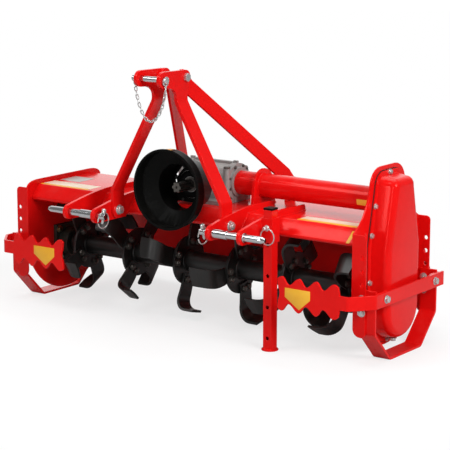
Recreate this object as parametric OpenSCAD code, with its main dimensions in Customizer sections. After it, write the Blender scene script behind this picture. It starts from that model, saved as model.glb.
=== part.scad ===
// Rotary tiller for a three-point hitch, in millimetres.
// +X is the chain-case side, -Y the tractor side, +Z up. It stands on skids and a parking leg at z = 0.

/* [Housing] */
// Distance between the outer faces of the two side plates
deck_w = 1334; // [1200:2:1480]
// Thickness of the deck and tail flap sheet
sheet = 4; // [3:0.5:5]
// Thickness of the side plates
plate_t = 6; // [5:0.5:8]
// Height of the deck's top face
deck_top_z = 410; // [400:1:418]
// Front edge of the deck's flat top
deck_front_y = -130; // [-140:1:-120]
// Foremost edge of the slanted front panel
lip_y = -176; // [-182:1:-168]
// Height of the front panel's lower edge
lip_z = 357; // [345:1:365]
// Depth of the lip that returns under the front panel
lip_in = 22; // [16:1:30]
// Rear edge of the deck's flat top
deck_rear_y = 158; // [150:1:168]
// Rear end of the sloping tail panel
tail_y = 246; // [238:1:252]
// Height of the tail panel's end
tail_z = 326; // [318:1:334]
// How far the left side plate stands above the deck
rim_h = 16; // [10:1:24]
// Outside bend radius of folded sheet
sheet_bend_r = 10; // [8:1:14]

/* [Side plates and skids] */
// Half the depth of a side plate, either side of the rotor axis
plate_half = 195; // [190:1:202]
// Lowest point of the rounded side plates
plate_low_z = 18; // [14:1:40]
// Width of the out-turned straps of the side plates
strap_w = 44; // [40:1:50]
// Top of the straps
strap_top_z = 403; // [395:1:408]
// Lower end of the straps
strap_low_z = 84; // [78:1:100]
// Gap from side plate to the inner edge of a skid
skid_out = 18; // [16:1:24]
// Width of the skid bar
skid_w = 58; // [52:1:62]
// Thickness of the skid bar
skid_t = 8; // [6:1:10]
// Length of the skid's flat sole
skid_flat = 192; // [170:1:210]
// Height of the skid's slanted corners
skid_rise = 96; // [84:1:104]
// Top of the skid's upright legs
skid_top_z = 234; // [228:1:246]
// Radius of the skid bolt holes
skid_hole_r = 6.5; // [5:0.5:8]
// Spacing of the skid height holes
skid_hole_pitch = 42; // [36:1:46]
// Height of the lowest skid hole
skid_hole_z = 164; // [158:1:168]

/* [Drive] */
// Rotor and cross shaft axis, front to back
rotor_y = 10; // [6:1:14]
// Height of the rotor axis
rotor_z = 186; // [184:1:196]
// Height of the power input and of the axle tube
pto_z = 476; // [470:1:486]
// Radius of the axle tube
tube_r = 39; // [34:0.5:44]
// Wall of the axle tube
tube_wall = 6; // [4:0.5:8]
// Place of the axle tube's support plate
support_x = 197; // [170:1:230]
// Thickness of the support plate
support_t = 10; // [8:1:14]
// Half the width of the gearbox
box_half = 100; // [90:1:104]
// Front face of the gearbox, ahead of the cross shaft
box_front = 100; // [92:1:110]
// Rear face of the gearbox, behind the cross shaft
box_rear = 66; // [58:1:76]
// Height of the gearbox above its axis
box_up = 62; // [56:1:68]
// Front rim of the input shield
shield_front_y = -253; // [-260:1:-246]
// Outer radius of the shield's front bell
shield_r = 128; // [120:1:134]
// Outer radius of the shield's neck
shield_neck_r = 80; // [76:1:88]
// Wall of the shield
shield_wall = 4; // [3:0.5:5]
// Depth of the shield's wide front band
shield_band = 36; // [32:1:42]
// Free end of the input shaft
shaft_end_y = -196; // [-204:1:-190]
// Outer radius of the input splines
spline_r = 17.4; // [15:0.1:20]
// Running clearance round turning shafts
run_gap = 0.06; // [0.03:0.01:0.09]

/* [Chain case] */
// Half the width of the side plate's neck
neck_half = 104; // [98:1:112]
// Top of the side plate's neck
neck_top_z = 590; // [582:1:600]
// Corner radius of the neck's top
neck_round = 62; // [50:1:72]
// Depth of the domed cover
cover_depth = 64; // [54:1:68]
// Half the width of the cover's flange at its foot
cover_half = 120; // [112:1:124]
// Half the width of the cover's flange at its head
cover_head = 82; // [76:1:88]
// Margin between the neck's top and the cover's flange
cover_margin = 13; // [10:1:18]
// Width of the flange round the dome
flange_w = 16; // [12:1:18]
// Thickness of the cover's flange
flange_t = 4; // [3:0.5:6]
// Edge radius of the dome
dome_r = 28; // [20:1:32]
// Height of the cover's knee above the rotor axis
cover_knee_up = 160; // [150:1:172]

/* [Hitch] */
// Lower hitch pins, front to back
low_pin_y = -322; // [-330:1:-314]
// Height of the lower hitch pins
low_pin_z = 377; // [370:1:384]
// Height of the top link pin above the lower pins
mast_h = 460; // [450:1:470]
// Radius of the lower hitch pins
low_pin_r = 11; // [11:0.5:14]
// Middle of the inner lugs, from the centre line
lug_in = 232; // [222:1:240]
// Middle of the outer lugs, from the centre line
lug_out = 351; // [344:1:358]
// Thickness of the hitch lugs
lug_t = 12; // [10:1:14]
// Radius of a lug's nose
lug_nose = 25; // [22:1:27]
// Rear end of the lugs on the deck
lug_rear_y = 20; // [0:1:30]
// Gap between the lugs and the axle tube above them
lug_under = 6; // [4:1:12]
// Reach of a lower pin past the outer lug
low_pin_reach = 80; // [70:1:90]
// Front edge of the mast bars
mast_y = -256; // [-262:1:-250]
// Width of the mast bars
mast_w = 56; // [50:1:60]
// Thickness of the mast bars
mast_t = 12; // [10:1:14]
// Middle of the clevis plates, from the centre line
clevis_half = 45; // [42:1:50]
// Top link pin, front to back
top_pin_y = -320; // [-326:1:-314]
// Radius of the top link pin
top_pin_r = 9.5; // [9:0.5:12.5]
// Radius of the clevis noses
clevis_nose = 26; // [22:1:28]
// Depth of the mast's upper bend under the top pin
mast_bend_up = 72; // [64:1:80]
// Height of the mast's lower bend
mast_bend_low = 455; // [448:1:465]
// Lower end of the mast bars
mast_foot_z = 356; // [350:1:362]
// Place of the mast's rear bolt
mast_bolt_y = -209; // [-213:1:-206]
// Radius of the mast bolts
mast_bolt_r = 8; // [6:0.5:10]
// Width of the rear braces
brace_w = 50; // [44:1:54]
// Thickness of the rear braces
brace_t = 10; // [8:1:12]
// Brace feet, from the centre line
brace_foot_x = 216; // [200:1:224]
// Brace feet, front to back
brace_foot_y = 150; // [140:1:156]
// Height of the brace feet's bolts
brace_foot_z = 462; // [455:1:470]

/* [Parking leg] */
// Width of the square leg
leg_w = 32; // [28:1:36]
// Wall of the leg and of its socket
leg_wall = 4; // [3:0.5:5]
// Sliding gap between leg and socket
leg_gap = 0.5; // [0.3:0.1:0.8]
// Leg axis, front to back
leg_y = -207; // [-210:1:-204]
// Length of the leg's socket
socket_h = 78; // [66:1:84]
// How far the socket hangs under the lower pins
socket_drop = 30; // [26:1:34]
// Reach of the leg above its socket
leg_over = 24; // [18:1:32]
// Radius of the foot plate
foot_r = 27; // [24:1:29]
// Thickness of the foot plate
foot_t = 5; // [4:1:8]

/* [Guards] */
// Outer face of the guard bars, outside the side plates
guard_out = 91; // [87:1:99]
// Height of the guard bar's middle
guard_z = 206; // [202:1:212]
// Height of the guard bar
guard_h = 44; // [38:1:48]
// Thickness of the guard bar
guard_t = 8; // [6:1:9]
// How far the toothed plates stand ahead of the side plates
guard_set = 83; // [74:1:90]
// Width of the slanted run at the guard's front corner
guard_corner = 58; // [50:1:66]
// Reach of the straight side bar past the side plates' front edge
guard_lead = 12; // [8:1:18]
// Reach of the guard bars past the side plates' rear edge
guard_past = 10; // [1:1:17]
// Length of the toothed end plate
wave_len = 228; // [214:1:240]
// Half the height of the toothed plate at its teeth
wave_half = 54; // [50:1:58]
// Depth of its teeth
wave_tooth = 24; // [20:1:27]
// From the left guard's outer face to its toothed plate
wave_set = 105; // [98:1:112]

/* [Rotor] */
// Radius of the circle that the tine tips sweep
tine_sweep = 178; // [170:1:180]
// Radius of the rotor tube
rotor_r = 34; // [30:0.5:38]
// Radius of the tine flanges
hub_r = 84; // [78:1:88]
// Thickness of the tine flanges
hub_t = 10; // [8:1:12]
// Gap from side plate to the end flanges
hub_end = 120; // [112:1:130]
// Number of tine flanges
hubs = 6; // [5:1:6]
// Sideways reach of a tine
tine_reach = 78; // [66:1:84]
// Thickness of a tine
tine_t = 8; // [6:0.5:9]
// Width of a tine
tine_w = 66; // [58:1:70]
// Radius of a tine's curl
tine_curl = 46; // [38:1:52]
// Turn of the first flange's tines
tine_phase = 118; // [0:1:179]
// Turn from one flange's tines to the next
tine_stagger = 24; // [0:1:45]
// Width of a square bearing housing
bearing_side = 130; // [116:1:136]
// Thickness of its flange
bearing_plate = 14; // [10:1:18]
// Radius of its round hub
bearing_hub_r = 50; // [44:1:56]
// Length of a bearing housing
bearing_len = 48; // [40:1:54]
// Radius of the rotor's stub ends
stub_r = 25; // [20:0.5:28]

/* [Tail flap] */
// Rearmost edge of the flap
flap_end_y = 347; // [335:1:355]
// Height of the flap's lower edge
flap_low_z = 70; // [55:1:90]
// Side gap between flap and side plates
flap_gap = 7; // [6:1:12]
// Radius of the hinge rod
rod_r = 6; // [5:0.5:7]
// Wall of the hinge knuckles
knuckle_wall = 5; // [4:0.5:6]
// Length of one hinge knuckle
knuckle_len = 60; // [50:1:80]
// Gap between neighbouring knuckles
knuckle_gap = 2; // [1:0.5:4]

/* [Hidden] */
$fn = 64;

// Gap between round pieces that are welded or pushed together
seat = 0.15;
// Overlap inside one solid, where two of its forms join
join = 1;
half_w = deck_w / 2;
plate_in = half_w - plate_t;
front_y = rotor_y - plate_half;
rear_y = rotor_y + plate_half;
strap_t = plate_t;
skid_front = front_y + strap_t;
skid_rear = rear_y - strap_t;
skid_bolt_x = half_w + (skid_out + strap_w) / 2;
top_pin_z = low_pin_z + mast_h;
mast_bend_z = top_pin_z - mast_bend_up;
mast_out_low = lug_in - lug_t / 2;
mast_out_top = clevis_half + mast_t / 2;
mast_in_top = clevis_half - mast_t / 2;
mast_foot_bolt = [mast_y + mast_w / 2, mast_foot_z + mast_w / 2];
lug_face = lug_out + lug_t / 2;
socket_w = leg_w + 2 * leg_gap + 2 * leg_wall;
leg_x = lug_face + socket_w / 2;
socket_z = low_pin_z - socket_drop;
leg_top = socket_z + socket_h + leg_over;
guard_x = half_w + guard_out;
guard_y = front_y - guard_set;
guard_rear_y = rear_y + guard_past;
wave_clear = 37;
wave_right = leg_x + foot_r + wave_clear;
wave_left = guard_x - wave_set - wave_len;
hub_span = half_w - hub_end;
hub_pitch = 2 * hub_span / (hubs - 1);
tines_per_hub = 4;
tail_dir = unit([tail_y - deck_rear_y, tail_z - deck_top_z]);
knuckle_r = rod_r + knuckle_wall;
hinge = [tail_y, tail_z] + tail_dir * (knuckle_r - 2);
flap_half = plate_in - flap_gap;
knuckles = 9;
knuckle_pitch = (2 * flap_half - knuckle_len) / (knuckles - 1);
box_down = pto_z - deck_top_z;

// Plane geometry
function unit(v) = v / norm(v);
function left_of(v) = [-v[1], v[0]];
function reversed(p) = [for (i = [len(p) - 1:-1:0]) p[i]];
function arc(c, r, a0, a1, n) = [for (i = [0:n])
    let (a = a0 + (a1 - a0) * i / n) c + r * [cos(a), sin(a)]];
function curve(a, b, c, n) = [for (i = [0:n])
    let (t = i / n) (1 - t) * (1 - t) * a + 2 * t * (1 - t) * b + t * t * c];
function miter(a, b, c) = let (m = left_of(unit(b - a)), n = left_of(unit(c - b))) (m + n) / (1 + m * n);
function beside(p, d) = let (e = len(p) - 1) [for (i = [0:e])
    i == 0 ? p[0] + d * left_of(unit(p[1] - p[0])) :
    i == e ? p[e] + d * left_of(unit(p[e] - p[e - 1])) : p[i] + d * miter(p[i - 1], p[i], p[i + 1])];
function strip(p, d) = concat(p, reversed(beside(p, d)));
function corner(a, b, c, r, n) = let (u = unit(a - b), v = unit(c - b), half = acos(u * v) / 2,
    mid = b + unit(u + v) * r / sin(half), s = b + u * r / tan(half) - mid, a0 = atan2(s[1], s[0]),
    turn = sign(cross(b - a, c - b)) * (180 - 2 * half)) arc(mid, r, a0, a0 + turn, n);
function bent(p, r, n) = let (e = len(p) - 1)
    concat([p[0]], [for (i = [1:e - 1]) each corner(p[i - 1], p[i], p[i + 1], r, n)], [p[e]]);

// Extrudes a profile drawn in Y and Z along X
module along_x(x, length) {
    translate([x, 0, 0]) rotate([90, 0, 90]) linear_extrude(length) children();
}

// Extrudes a profile drawn in X and Z along Y, starting at the given front face
module along_y(y, length) {
    translate([0, y + length, 0]) rotate([90, 0, 0]) linear_extrude(length) children();
}

// A round bar along X
module bar_x(x, length, y, z, r) {
    translate([x, y, z]) rotate([0, 90, 0]) cylinder(h = length, r = r);
}

// A round bar along Y
module bar_y(x, y, length, z, r) {
    translate([x, y + length, z]) rotate([90, 0, 0]) cylinder(h = length, r = r);
}

// Left-hand twin of a right-hand piece
module left_hand() {
    mirror([1, 0, 0]) children();
}

// Housing
module hinge_knuckles(first, bore) {
    for (i = [first:2:knuckles - 1])
        difference() {
            bar_x(i * knuckle_pitch - flap_half, knuckle_len, hinge[0], hinge[1], knuckle_r);
            bar_x(i * knuckle_pitch - flap_half - join, knuckle_len + 2 * join, hinge[0], hinge[1], bore);
        }
}

module hinge_notches(first) {
    wide = knuckle_len + 2 * knuckle_gap;
    start = -flap_half - knuckle_gap;
    for (i = [first:2:knuckles - 1])
        bar_x(start + i * knuckle_pitch, wide, hinge[0], hinge[1], knuckle_r + knuckle_gap);
}

module deck() {
    fold = bent([[lip_y + lip_in, lip_z], [lip_y, lip_z], [deck_front_y, deck_top_z],
        [deck_rear_y, deck_top_z], [tail_y, tail_z]], sheet_bend_r, 4);
    color("red") {
        difference() {
            along_x(-plate_in, 2 * plate_in) polygon(strip(fold, -sheet));
            hinge_notches(1);
            bar_x(-plate_in - join, 2 * plate_in + 2 * join, hinge[0], hinge[1], rod_r + knuckle_wall / 2);
        }
        hinge_knuckles(0, rod_r + seat);
    }
}

// Lower half of both side plates: upright edges and a round sole, from rear to front
function plate_sole() = arc([rotor_y, plate_low_z + plate_half], plate_half, 0, -180, 24);

module straps() {
    round = 14;
    heel_r = 26;
    edge = half_w + strap_w - round;
    outline = concat(arc([half_w - join + heel_r, strap_low_z + heel_r], heel_r, 180, 270, 6),
        arc([edge, strap_low_z + round], round, -90, 0, 5),
        arc([edge, strap_top_z - round], round, 0, 90, 5), [[half_w - join, strap_top_z]]);
    for (y = [front_y, rear_y - strap_t])
        along_y(y, strap_t) polygon(outline);
}

module skid_holes(count) {
    depth = 2 * plate_half + 2 * join;
    for (i = [0:count - 1])
        bar_y(skid_bolt_x, front_y - join, depth, skid_hole_z + i * skid_hole_pitch, skid_hole_r);
}

module side_plate_left() {
    crown_run = 62;
    crown_in = 8;
    top = deck_top_z + rim_h;
    crown = concat(curve([front_y, strap_top_z], [front_y + crown_in, top], [front_y + crown_run, top], 8),
        curve([rear_y - crown_run, top], [rear_y - crown_in, top], [rear_y, strap_top_z], 8));
    color("red") left_hand() difference() {
        union() {
            along_x(plate_in, plate_t) polygon(concat(crown, plate_sole()));
            straps();
        }
        skid_holes(5);
    }
}

module side_plate_right() {
    flare = 26;
    neck_low = neck_top_z - neck_round;
    foot = strap_top_z + 7;
    front = concat(curve([front_y + 12, foot], [rotor_y - neck_half - flare, foot + flare],
        [rotor_y - neck_half, neck_low], 8),
        arc([rotor_y - neck_half + neck_round, neck_low], neck_round, 180, 90, 6));
    back = [for (p = reversed(front)) [2 * rotor_y - p[0], p[1]]];
    color("red") difference() {
        union() {
            along_x(plate_in, plate_t)
                polygon(concat([[front_y, strap_top_z]], front, back, [[rear_y, strap_top_z]],
                    plate_sole()));
            straps();
        }
        skid_holes(5);
    }
}

// Chain case
cover_top = neck_top_z - cover_margin;
cover_low = plate_low_z + 10;
cover_knee = rotor_z + cover_knee_up;
cover_round = 48;

// Outline of the cover, narrowed all round by a margin
function cover_outline(in) = let (h = cover_head - in, f = cover_half - in, r = cover_round - in / 2,
    top = cover_top - in)
    concat(arc([rotor_y, cover_low + cover_half], f, 0, -180, 18), [[rotor_y - f, cover_knee]],
        arc([rotor_y - h + r, top - r], r, 180, 90, 5), arc([rotor_y + h - r, top - r], r, 90, 0, 5),
        [[rotor_y + f, cover_knee]]);

module cover_gasket() {
    color("black") along_x(half_w, 2) polygon(cover_outline(0));
}

module chain_cover() {
    base = half_w + 2;
    crown = base + cover_depth;
    color("red") {
        along_x(base, flange_t) polygon(cover_outline(2));
        hull() {
            along_x(base + flange_t - join, dome_r) polygon(cover_outline(flange_w));
            along_x(crown - dome_r * 0.3, dome_r * 0.06) polygon(cover_outline(flange_w + dome_r * 0.3));
            along_x(crown - dome_r * 0.12, dome_r * 0.06) polygon(cover_outline(flange_w + dome_r * 0.5));
            along_x(crown - dome_r * 0.04, dome_r * 0.04) polygon(cover_outline(flange_w + dome_r * 0.8));
        }
    }
}

// Drive line: the shield ends ahead of the deck's front panel, on the gearbox's neck
tube_start = box_half + 8;
drum_r = box_up - 4;
neck_r = 46;
shaft_land = 6;
shield_clear = 4;
panel_lean = (deck_front_y - lip_y) / (deck_top_z - lip_z);
neck_flange = 20;
shield_back_y = rotor_y - box_front - neck_flange;
disc_t = 8;
shield_disc_y = shield_back_y - disc_t;
neck_front = shield_disc_y - 2;

module axle_tube() {
    color("red") difference() {
        bar_x(tube_start, plate_in - tube_start, rotor_y, pto_z, tube_r);
        bar_x(tube_start - join, plate_in - tube_start + 2 * join, rotor_y, pto_z, tube_r - tube_wall);
    }
}

module tube_support() {
    collar = 16;
    ring = tube_r + collar;
    foot = 10;
    color("red") difference() {
        along_x(support_x - support_t / 2, support_t)
            polygon(concat([[rotor_y + ring + foot, deck_top_z]], arc([rotor_y, pto_z], ring, 0, 180, 16),
                [[rotor_y - ring - foot, deck_top_z]]));
        bar_x(support_x - support_t, 2 * support_t, rotor_y, pto_z, tube_r + seat);
    }
}

module gearbox() {
    rib = 7;
    rib_over = 8;
    rib_set = 3;
    foot = 13.5;
    core = box_half - 22;
    rim = box_half - core + join;
    body = drum_r - 2;
    boss_r = 12;
    front = rotor_y - box_front;
    color("gray") difference() {
        union() {
            // Drum round the cross shaft, barrels round the input, and a body down to the foot
            bar_x(-core, 2 * core, rotor_y, pto_z, drum_r);
            bar_y(0, front, box_front, pto_z, drum_r - 4);
            bar_y(0, rotor_y, box_rear, pto_z, neck_r);
            translate([-core, rotor_y - body, deck_top_z]) cube([2 * core, 2 * body, box_down]);
            translate([-box_half, front, deck_top_z]) cube([2 * box_half, box_front + box_rear, foot]);
            for (s = [-1, 1]) {
                // Side flange with its ribs, which stop short of the flange's two faces
                inner = s > 0 ? core - join : -box_half;
                bar_x(inner, rim, rotor_y, pto_z, box_up);
                for (a = [-50, 0, 50, 130, 230])
                    translate([0, rotor_y, pto_z]) rotate([a, 0, 0])
                        translate([inner + rib_set, -rib / 2, 0])
                            cube([rim - 2 * rib_set, rib, box_up + rib_over]);
                // Upright bosses for the foot bolts
                for (b = [[-56, 50], [-14, 22], [46, 34]])
                    translate([s * (box_half - boss_r + 4), rotor_y + b[0], deck_top_z])
                        cylinder(h = box_down + b[1], r = boss_r);
            }
            // Front neck that carries the input shaft and the shield
            bar_y(0, neck_front, front - neck_front + join, pto_z, neck_r);
            bar_y(0, shield_back_y, neck_flange - rib_set, pto_z, drum_r);
            // Top rib and filler boss
            translate([-core, rotor_y - rib, pto_z]) cube([2 * core, 2 * rib, box_up + rib_over / 2]);
            translate([-core / 2, rotor_y, pto_z]) cylinder(h = box_up + rib_over, r = boss_r + 4);
        }
        bar_y(0, neck_front - join, rotor_y - neck_front, pto_z, spline_r + shaft_land + run_gap);
    }
    // Bearing caps: the right one carries the axle tube
    color("dimgray") {
        bar_x(box_half - join, tube_start - box_half + join, rotor_y, pto_z, tube_r + 10);
        bar_x(-tube_start, tube_start - box_half + join, rotor_y, pto_z, tube_r + 6);
    }
}

module input_shaft() {
    land = neck_front - 4;
    groove = 8;
    depth = 3.6;
    groove_len = land - shaft_end_y - 6;
    color("silver") {
        difference() {
            bar_y(0, shaft_end_y, land - shaft_end_y + join, pto_z, spline_r);
            for (a = [0:60:300])
                translate([0, shaft_end_y - join, pto_z]) rotate([0, a, 0])
                    translate([-groove / 2, 0, spline_r - depth]) cube([groove, groove_len, 2 * depth]);
            bar_y(0, shaft_end_y - join, 9, pto_z, 4);
        }
        bar_y(0, land, rotor_y - box_front / 2 - land, pto_z, spline_r + shaft_land);
    }
}

// Input shield
shield_len = shield_back_y - shield_front_y;
band_end = shield_len - shield_band;

// Turns a profile of radius and distance from the shield's back about the input axis
module shield_turned() {
    translate([0, shield_back_y, pto_z]) rotate([90, 0, 0]) rotate_extrude($fn = 72) children();
}

// Room that the shield leaves for the deck and its front panel
module deck_room() {
    rise = shield_clear * norm([1, 1 / panel_lean]);
    low = lip_z - shield_r;
    along_x(-shield_r, 2 * shield_r)
        polygon([[lip_y, lip_z + rise], [deck_front_y, deck_top_z + rise], [rotor_y, deck_top_z + rise],
            [rotor_y, low], [lip_y, low]]);
}

module shield_bell() {
    lip = 4;
    inner = shield_r - shield_wall;
    color("black") shield_turned()
        polygon([[inner, band_end], [shield_r, band_end], [shield_r, shield_len - 2 * lip],
            [shield_r + lip, shield_len - lip], [shield_r + lip, shield_len], [inner, shield_len]]);
}

module shield_neck() {
    slope = 26;
    inner = shield_neck_r - shield_wall;
    root = band_end - shield_wall - slope;
    color("black") difference() {
        shield_turned()
            polygon([[inner, 0], [shield_neck_r, 0], [shield_neck_r, root],
                [shield_r, band_end - shield_wall], [shield_r, band_end],
                [shield_r - shield_wall, band_end], [inner, root + shield_wall]]);
        deck_room();
    }
}

module shield_base() {
    hub = neck_r + seat;
    outer = shield_neck_r - shield_wall - seat;
    slot_r = (hub + outer) / 2;
    slot = 9;
    slot_len = 44;
    through = disc_t + 2 * join;
    color("black") difference() {
        bar_y(0, shield_disc_y, disc_t, pto_z, outer);
        bar_y(0, shield_disc_y - join, through, pto_z, hub);
        deck_room();
        for (a = [-100:50:100])
            translate([0, shield_disc_y - join, pto_z]) rotate([0, a, 0])
                translate([-slot_len / 2, 0, slot_r - slot / 2]) cube([slot_len, through, slot]);
    }
}

// Hitch mast
module mast_right() {
    head_r = 24;
    head_low = 10;
    bar_bend_r = 24;
    neck_z = mast_bend_z + head_low;
    under = top_pin_z - clevis_nose;
    path = [[mast_out_top, neck_z + join], [mast_out_top, mast_bend_z], [mast_out_low, mast_bend_low],
        [mast_out_low, mast_foot_z]];
    head = concat(curve([mast_y, neck_z], [mast_y, under], [top_pin_y, under], 6),
        arc([top_pin_y, top_pin_z], clevis_nose, -90, -270, 12),
        arc([mast_bolt_y, top_pin_z], head_r, 90, 0, 5), [[mast_y + mast_w, neck_z]]);
    foot_cut = mast_w / 2;
    color("red") difference() {
        union() {
            difference() {
                along_y(mast_y, mast_w) polygon(strip(bent(path, bar_bend_r, 4), -mast_t));
                difference() {
                    along_x(mast_out_low - mast_t - join, mast_t + 2 * join)
                        translate([mast_y - join, mast_foot_z - join])
                            square([mast_w + 2 * join, foot_cut + join]);
                    bar_x(mast_out_low - mast_t - 2 * join, mast_t + 4 * join, mast_foot_bolt[0],
                        mast_foot_bolt[1], mast_w / 2);
                }
            }
            along_x(mast_in_top, mast_t) polygon(head);
        }
        bar_x(mast_in_top - join, mast_t + 2 * join, top_pin_y, top_pin_z, top_pin_r + seat);
        bar_x(mast_in_top - join, mast_t + 2 * join, mast_bolt_y, top_pin_z, mast_bolt_r + seat);
        bar_x(mast_out_low - mast_t - join, mast_t + 2 * join, mast_foot_bolt[0], mast_foot_bolt[1],
            mast_bolt_r + seat);
    }
}

module mast_left() {
    left_hand() mast_right();
}

module mast_bolt() {
    head = 10;
    grip = mast_out_top;
    spacer = mast_in_top - brace_t;
    color("silver") {
        bar_x(-grip - head, 2 * grip + 2 * head, mast_bolt_y, top_pin_z, mast_bolt_r);
        for (x = [-grip - head, grip])
            translate([x, mast_bolt_y, top_pin_z]) rotate([0, 90, 0]) cylinder(h = head, r = 14, $fn = 6);
        bar_x(-spacer, 2 * spacer, mast_bolt_y, top_pin_z, mast_bolt_r + 6);
    }
}

// Rear braces, laid out along the line from the mast bolt down to the foot bolt
brace_fall = [brace_foot_y - mast_bolt_y, brace_foot_z - top_pin_z];
brace_len = norm(brace_fall);
brace_angle = atan2(brace_fall[1], brace_fall[0]);

module brace_right() {
    pad = 46;
    inner = mast_in_top - brace_t;
    foot_in = brace_foot_x - brace_t;
    path = [[-brace_w / 2, inner], [pad, inner], [brace_len - pad, foot_in],
        [brace_len + brace_w / 2, foot_in]];
    color("red") translate([0, mast_bolt_y, top_pin_z]) rotate([brace_angle, 0, 0])
        difference() {
            intersection() {
                translate([0, 0, -brace_w / 2]) linear_extrude(brace_w)
                    polygon([for (p = strip(path, brace_t)) [p[1], p[0]]]);
                union() {
                    bar_x(inner - join, foot_in - inner + brace_t + 2 * join, 0, 0, brace_w / 2);
                    bar_x(inner - join, foot_in - inner + brace_t + 2 * join, brace_len, 0, brace_w / 2);
                    translate([inner - join, 0, -brace_w / 2 - join])
                        cube([foot_in - inner + brace_t + 2 * join, brace_len, brace_w + 2 * join]);
                }
            }
            bar_x(inner - join, brace_t + 2 * join, 0, 0, mast_bolt_r + seat);
            bar_x(foot_in - join, brace_t + 2 * join, brace_len, 0, mast_bolt_r + seat);
        }
}

module brace_left() {
    left_hand() brace_right();
}

module brace_lugs() {
    nose = brace_w / 2;
    heel = 46;
    toe_in = 4;
    outline = concat([[brace_foot_y - heel, deck_top_z], [deck_rear_y - toe_in, deck_top_z]],
        arc([brace_foot_y, brace_foot_z], nose, -40, 160, 10));
    color("red") for (s = [0, 1])
        mirror([s, 0, 0]) difference() {
            along_x(brace_foot_x, brace_t) polygon(outline);
            bar_x(brace_foot_x - join, brace_t + 2 * join, brace_foot_y, brace_foot_z, mast_bolt_r + seat);
        }
}

// Lower hitch lugs: a nose at the pin, a back that sweeps up over the deck
module hitch_lug(x) {
    top = pto_z - tube_r - lug_under;
    under = low_pin_z - lug_nose;
    back_r = 12;
    rise_rear = 30;
    rise_front = 50;
    nose_turn = 25;
    outline = concat([[lip_y, min(under, lip_z)], [lip_y, lip_z], [deck_front_y, deck_top_z],
        [lug_rear_y, deck_top_z]], arc([lug_rear_y - back_r, top - back_r], back_r, 0, 90, 4),
        curve([deck_front_y + rise_rear, top], [deck_front_y - rise_front, top],
        [low_pin_y - lug_nose * sin(nose_turn), low_pin_z + lug_nose * cos(nose_turn)], 8),
        arc([low_pin_y, low_pin_z], lug_nose, 120, 270, 10));
    color("red") difference() {
        along_x(x - lug_t / 2, lug_t) polygon(outline);
        bar_x(x - lug_t, 2 * lug_t, low_pin_y, low_pin_z, low_pin_r + seat);
        if (x == lug_in)
            bar_x(x - lug_t, 2 * lug_t, mast_foot_bolt[0], mast_foot_bolt[1], mast_bolt_r + seat);
    }
}

module lug_right_inner() {
    hitch_lug(lug_in);
}

module lug_right_outer() {
    hitch_lug(lug_out);
}

module lug_left_inner() {
    left_hand() hitch_lug(lug_in);
}

module lug_left_outer() {
    left_hand() hitch_lug(lug_out);
}

module lower_pin_right() {
    tip = 12;
    tail = 34;
    collar_t = 5;
    start = lug_in - lug_t / 2 - tail;
    bush = lug_in + lug_t / 2;
    end = lug_face + low_pin_reach - tip;
    color("silver") translate([0, low_pin_y, low_pin_z]) rotate([0, 90, 0]) {
        translate([0, 0, start]) cylinder(h = end - start, r = low_pin_r);
        translate([0, 0, end]) cylinder(h = tip, r1 = low_pin_r, r2 = low_pin_r * 0.55);
        translate([0, 0, bush]) cylinder(h = (lug_out - lug_in) / 2, r = low_pin_r + 3);
        // Collar that the link's ball runs up to
        translate([0, 0, lug_face]) cylinder(h = collar_t, r = low_pin_r + 4);
    }
}

module lower_pin_left() {
    left_hand() lower_pin_right();
}

top_pin_tip = 22;
top_pin_head = 10;
top_pin_head_r = top_pin_r + 3;

module top_pin() {
    length = 2 * mast_out_top + top_pin_tip + join;
    color("silver") {
        bar_x(-mast_out_top - top_pin_tip, length, top_pin_y, top_pin_z, top_pin_r);
        bar_x(mast_out_top, top_pin_head, top_pin_y, top_pin_z, top_pin_head_r);
    }
}

// Retaining chain: a slack line that hangs from under the two ends of the top pin
chain_r = 2.2;
chain_route = [[57, -320, 824], [57, -321, 808], [55, -322, 792], [52, -323, 775], [47, -324, 757],
    [41, -325, 741], [32, -326, 726], [20, -326, 713], [5, -326, 705], [-10, -326, 706], [-23, -326, 716],
    [-34, -325, 731], [-44, -324, 749], [-52, -323, 768], [-58, -322, 788], [-63, -321, 808],
    [-66, -320, 827]];
chain_end = len(chain_route) - 1;

function ring_at(i) = let (a = chain_route[max(i - 1, 0)], b = chain_route[min(i + 1, chain_end)],
    d = unit(b - a), s = unit(cross(d, [0, 1, 0])), t = cross(d, s))
    [for (k = [0:7]) chain_route[i] + chain_r * (cos(45 * k) * s + sin(45 * k) * t)];

module retainer_chain() {
    points = [for (i = [0:chain_end]) each ring_at(i)];
    sides = [for (i = [0:chain_end - 1], k = [0:7])
        [8 * i + k, 8 * i + (k + 1) % 8, 8 * i + 8 + (k + 1) % 8, 8 * i + 8 + k]];
    ends = [[for (k = [7:-1:0]) k], [for (k = [0:7]) 8 * chain_end + k]];
    color("silver") polyhedron(points, concat(sides, ends));
}

// Parking leg
module block(w, h) {
    translate([-w / 2, -w / 2, 0]) cube([w, w, h]);
}

module leg_socket() {
    bore = leg_w + 2 * leg_gap;
    pin_r = 6;
    color("red") difference() {
        translate([leg_x, leg_y, socket_z]) block(socket_w, socket_h);
        translate([leg_x, leg_y, socket_z - join]) block(bore, socket_h + 2 * join);
        bar_y(leg_x, leg_y - socket_w, 2 * socket_w, socket_z + socket_h * 0.6, pin_r);
    }
}

module parking_leg() {
    hole_r = 6;
    hole_first = 40;
    hole_step = 100;
    color("red") {
        difference() {
            translate([leg_x, leg_y, foot_t - join]) block(leg_w, leg_top - foot_t + join);
            translate([leg_x, leg_y, foot_t]) block(leg_w - 2 * leg_wall, leg_top);
            for (z = [hole_first:hole_step:leg_top - leg_over])
                bar_y(leg_x, leg_y - leg_w, 2 * leg_w, z, hole_r);
        }
        translate([leg_x, leg_y, 0]) cylinder(h = foot_t, r = foot_r);
    }
}

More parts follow.
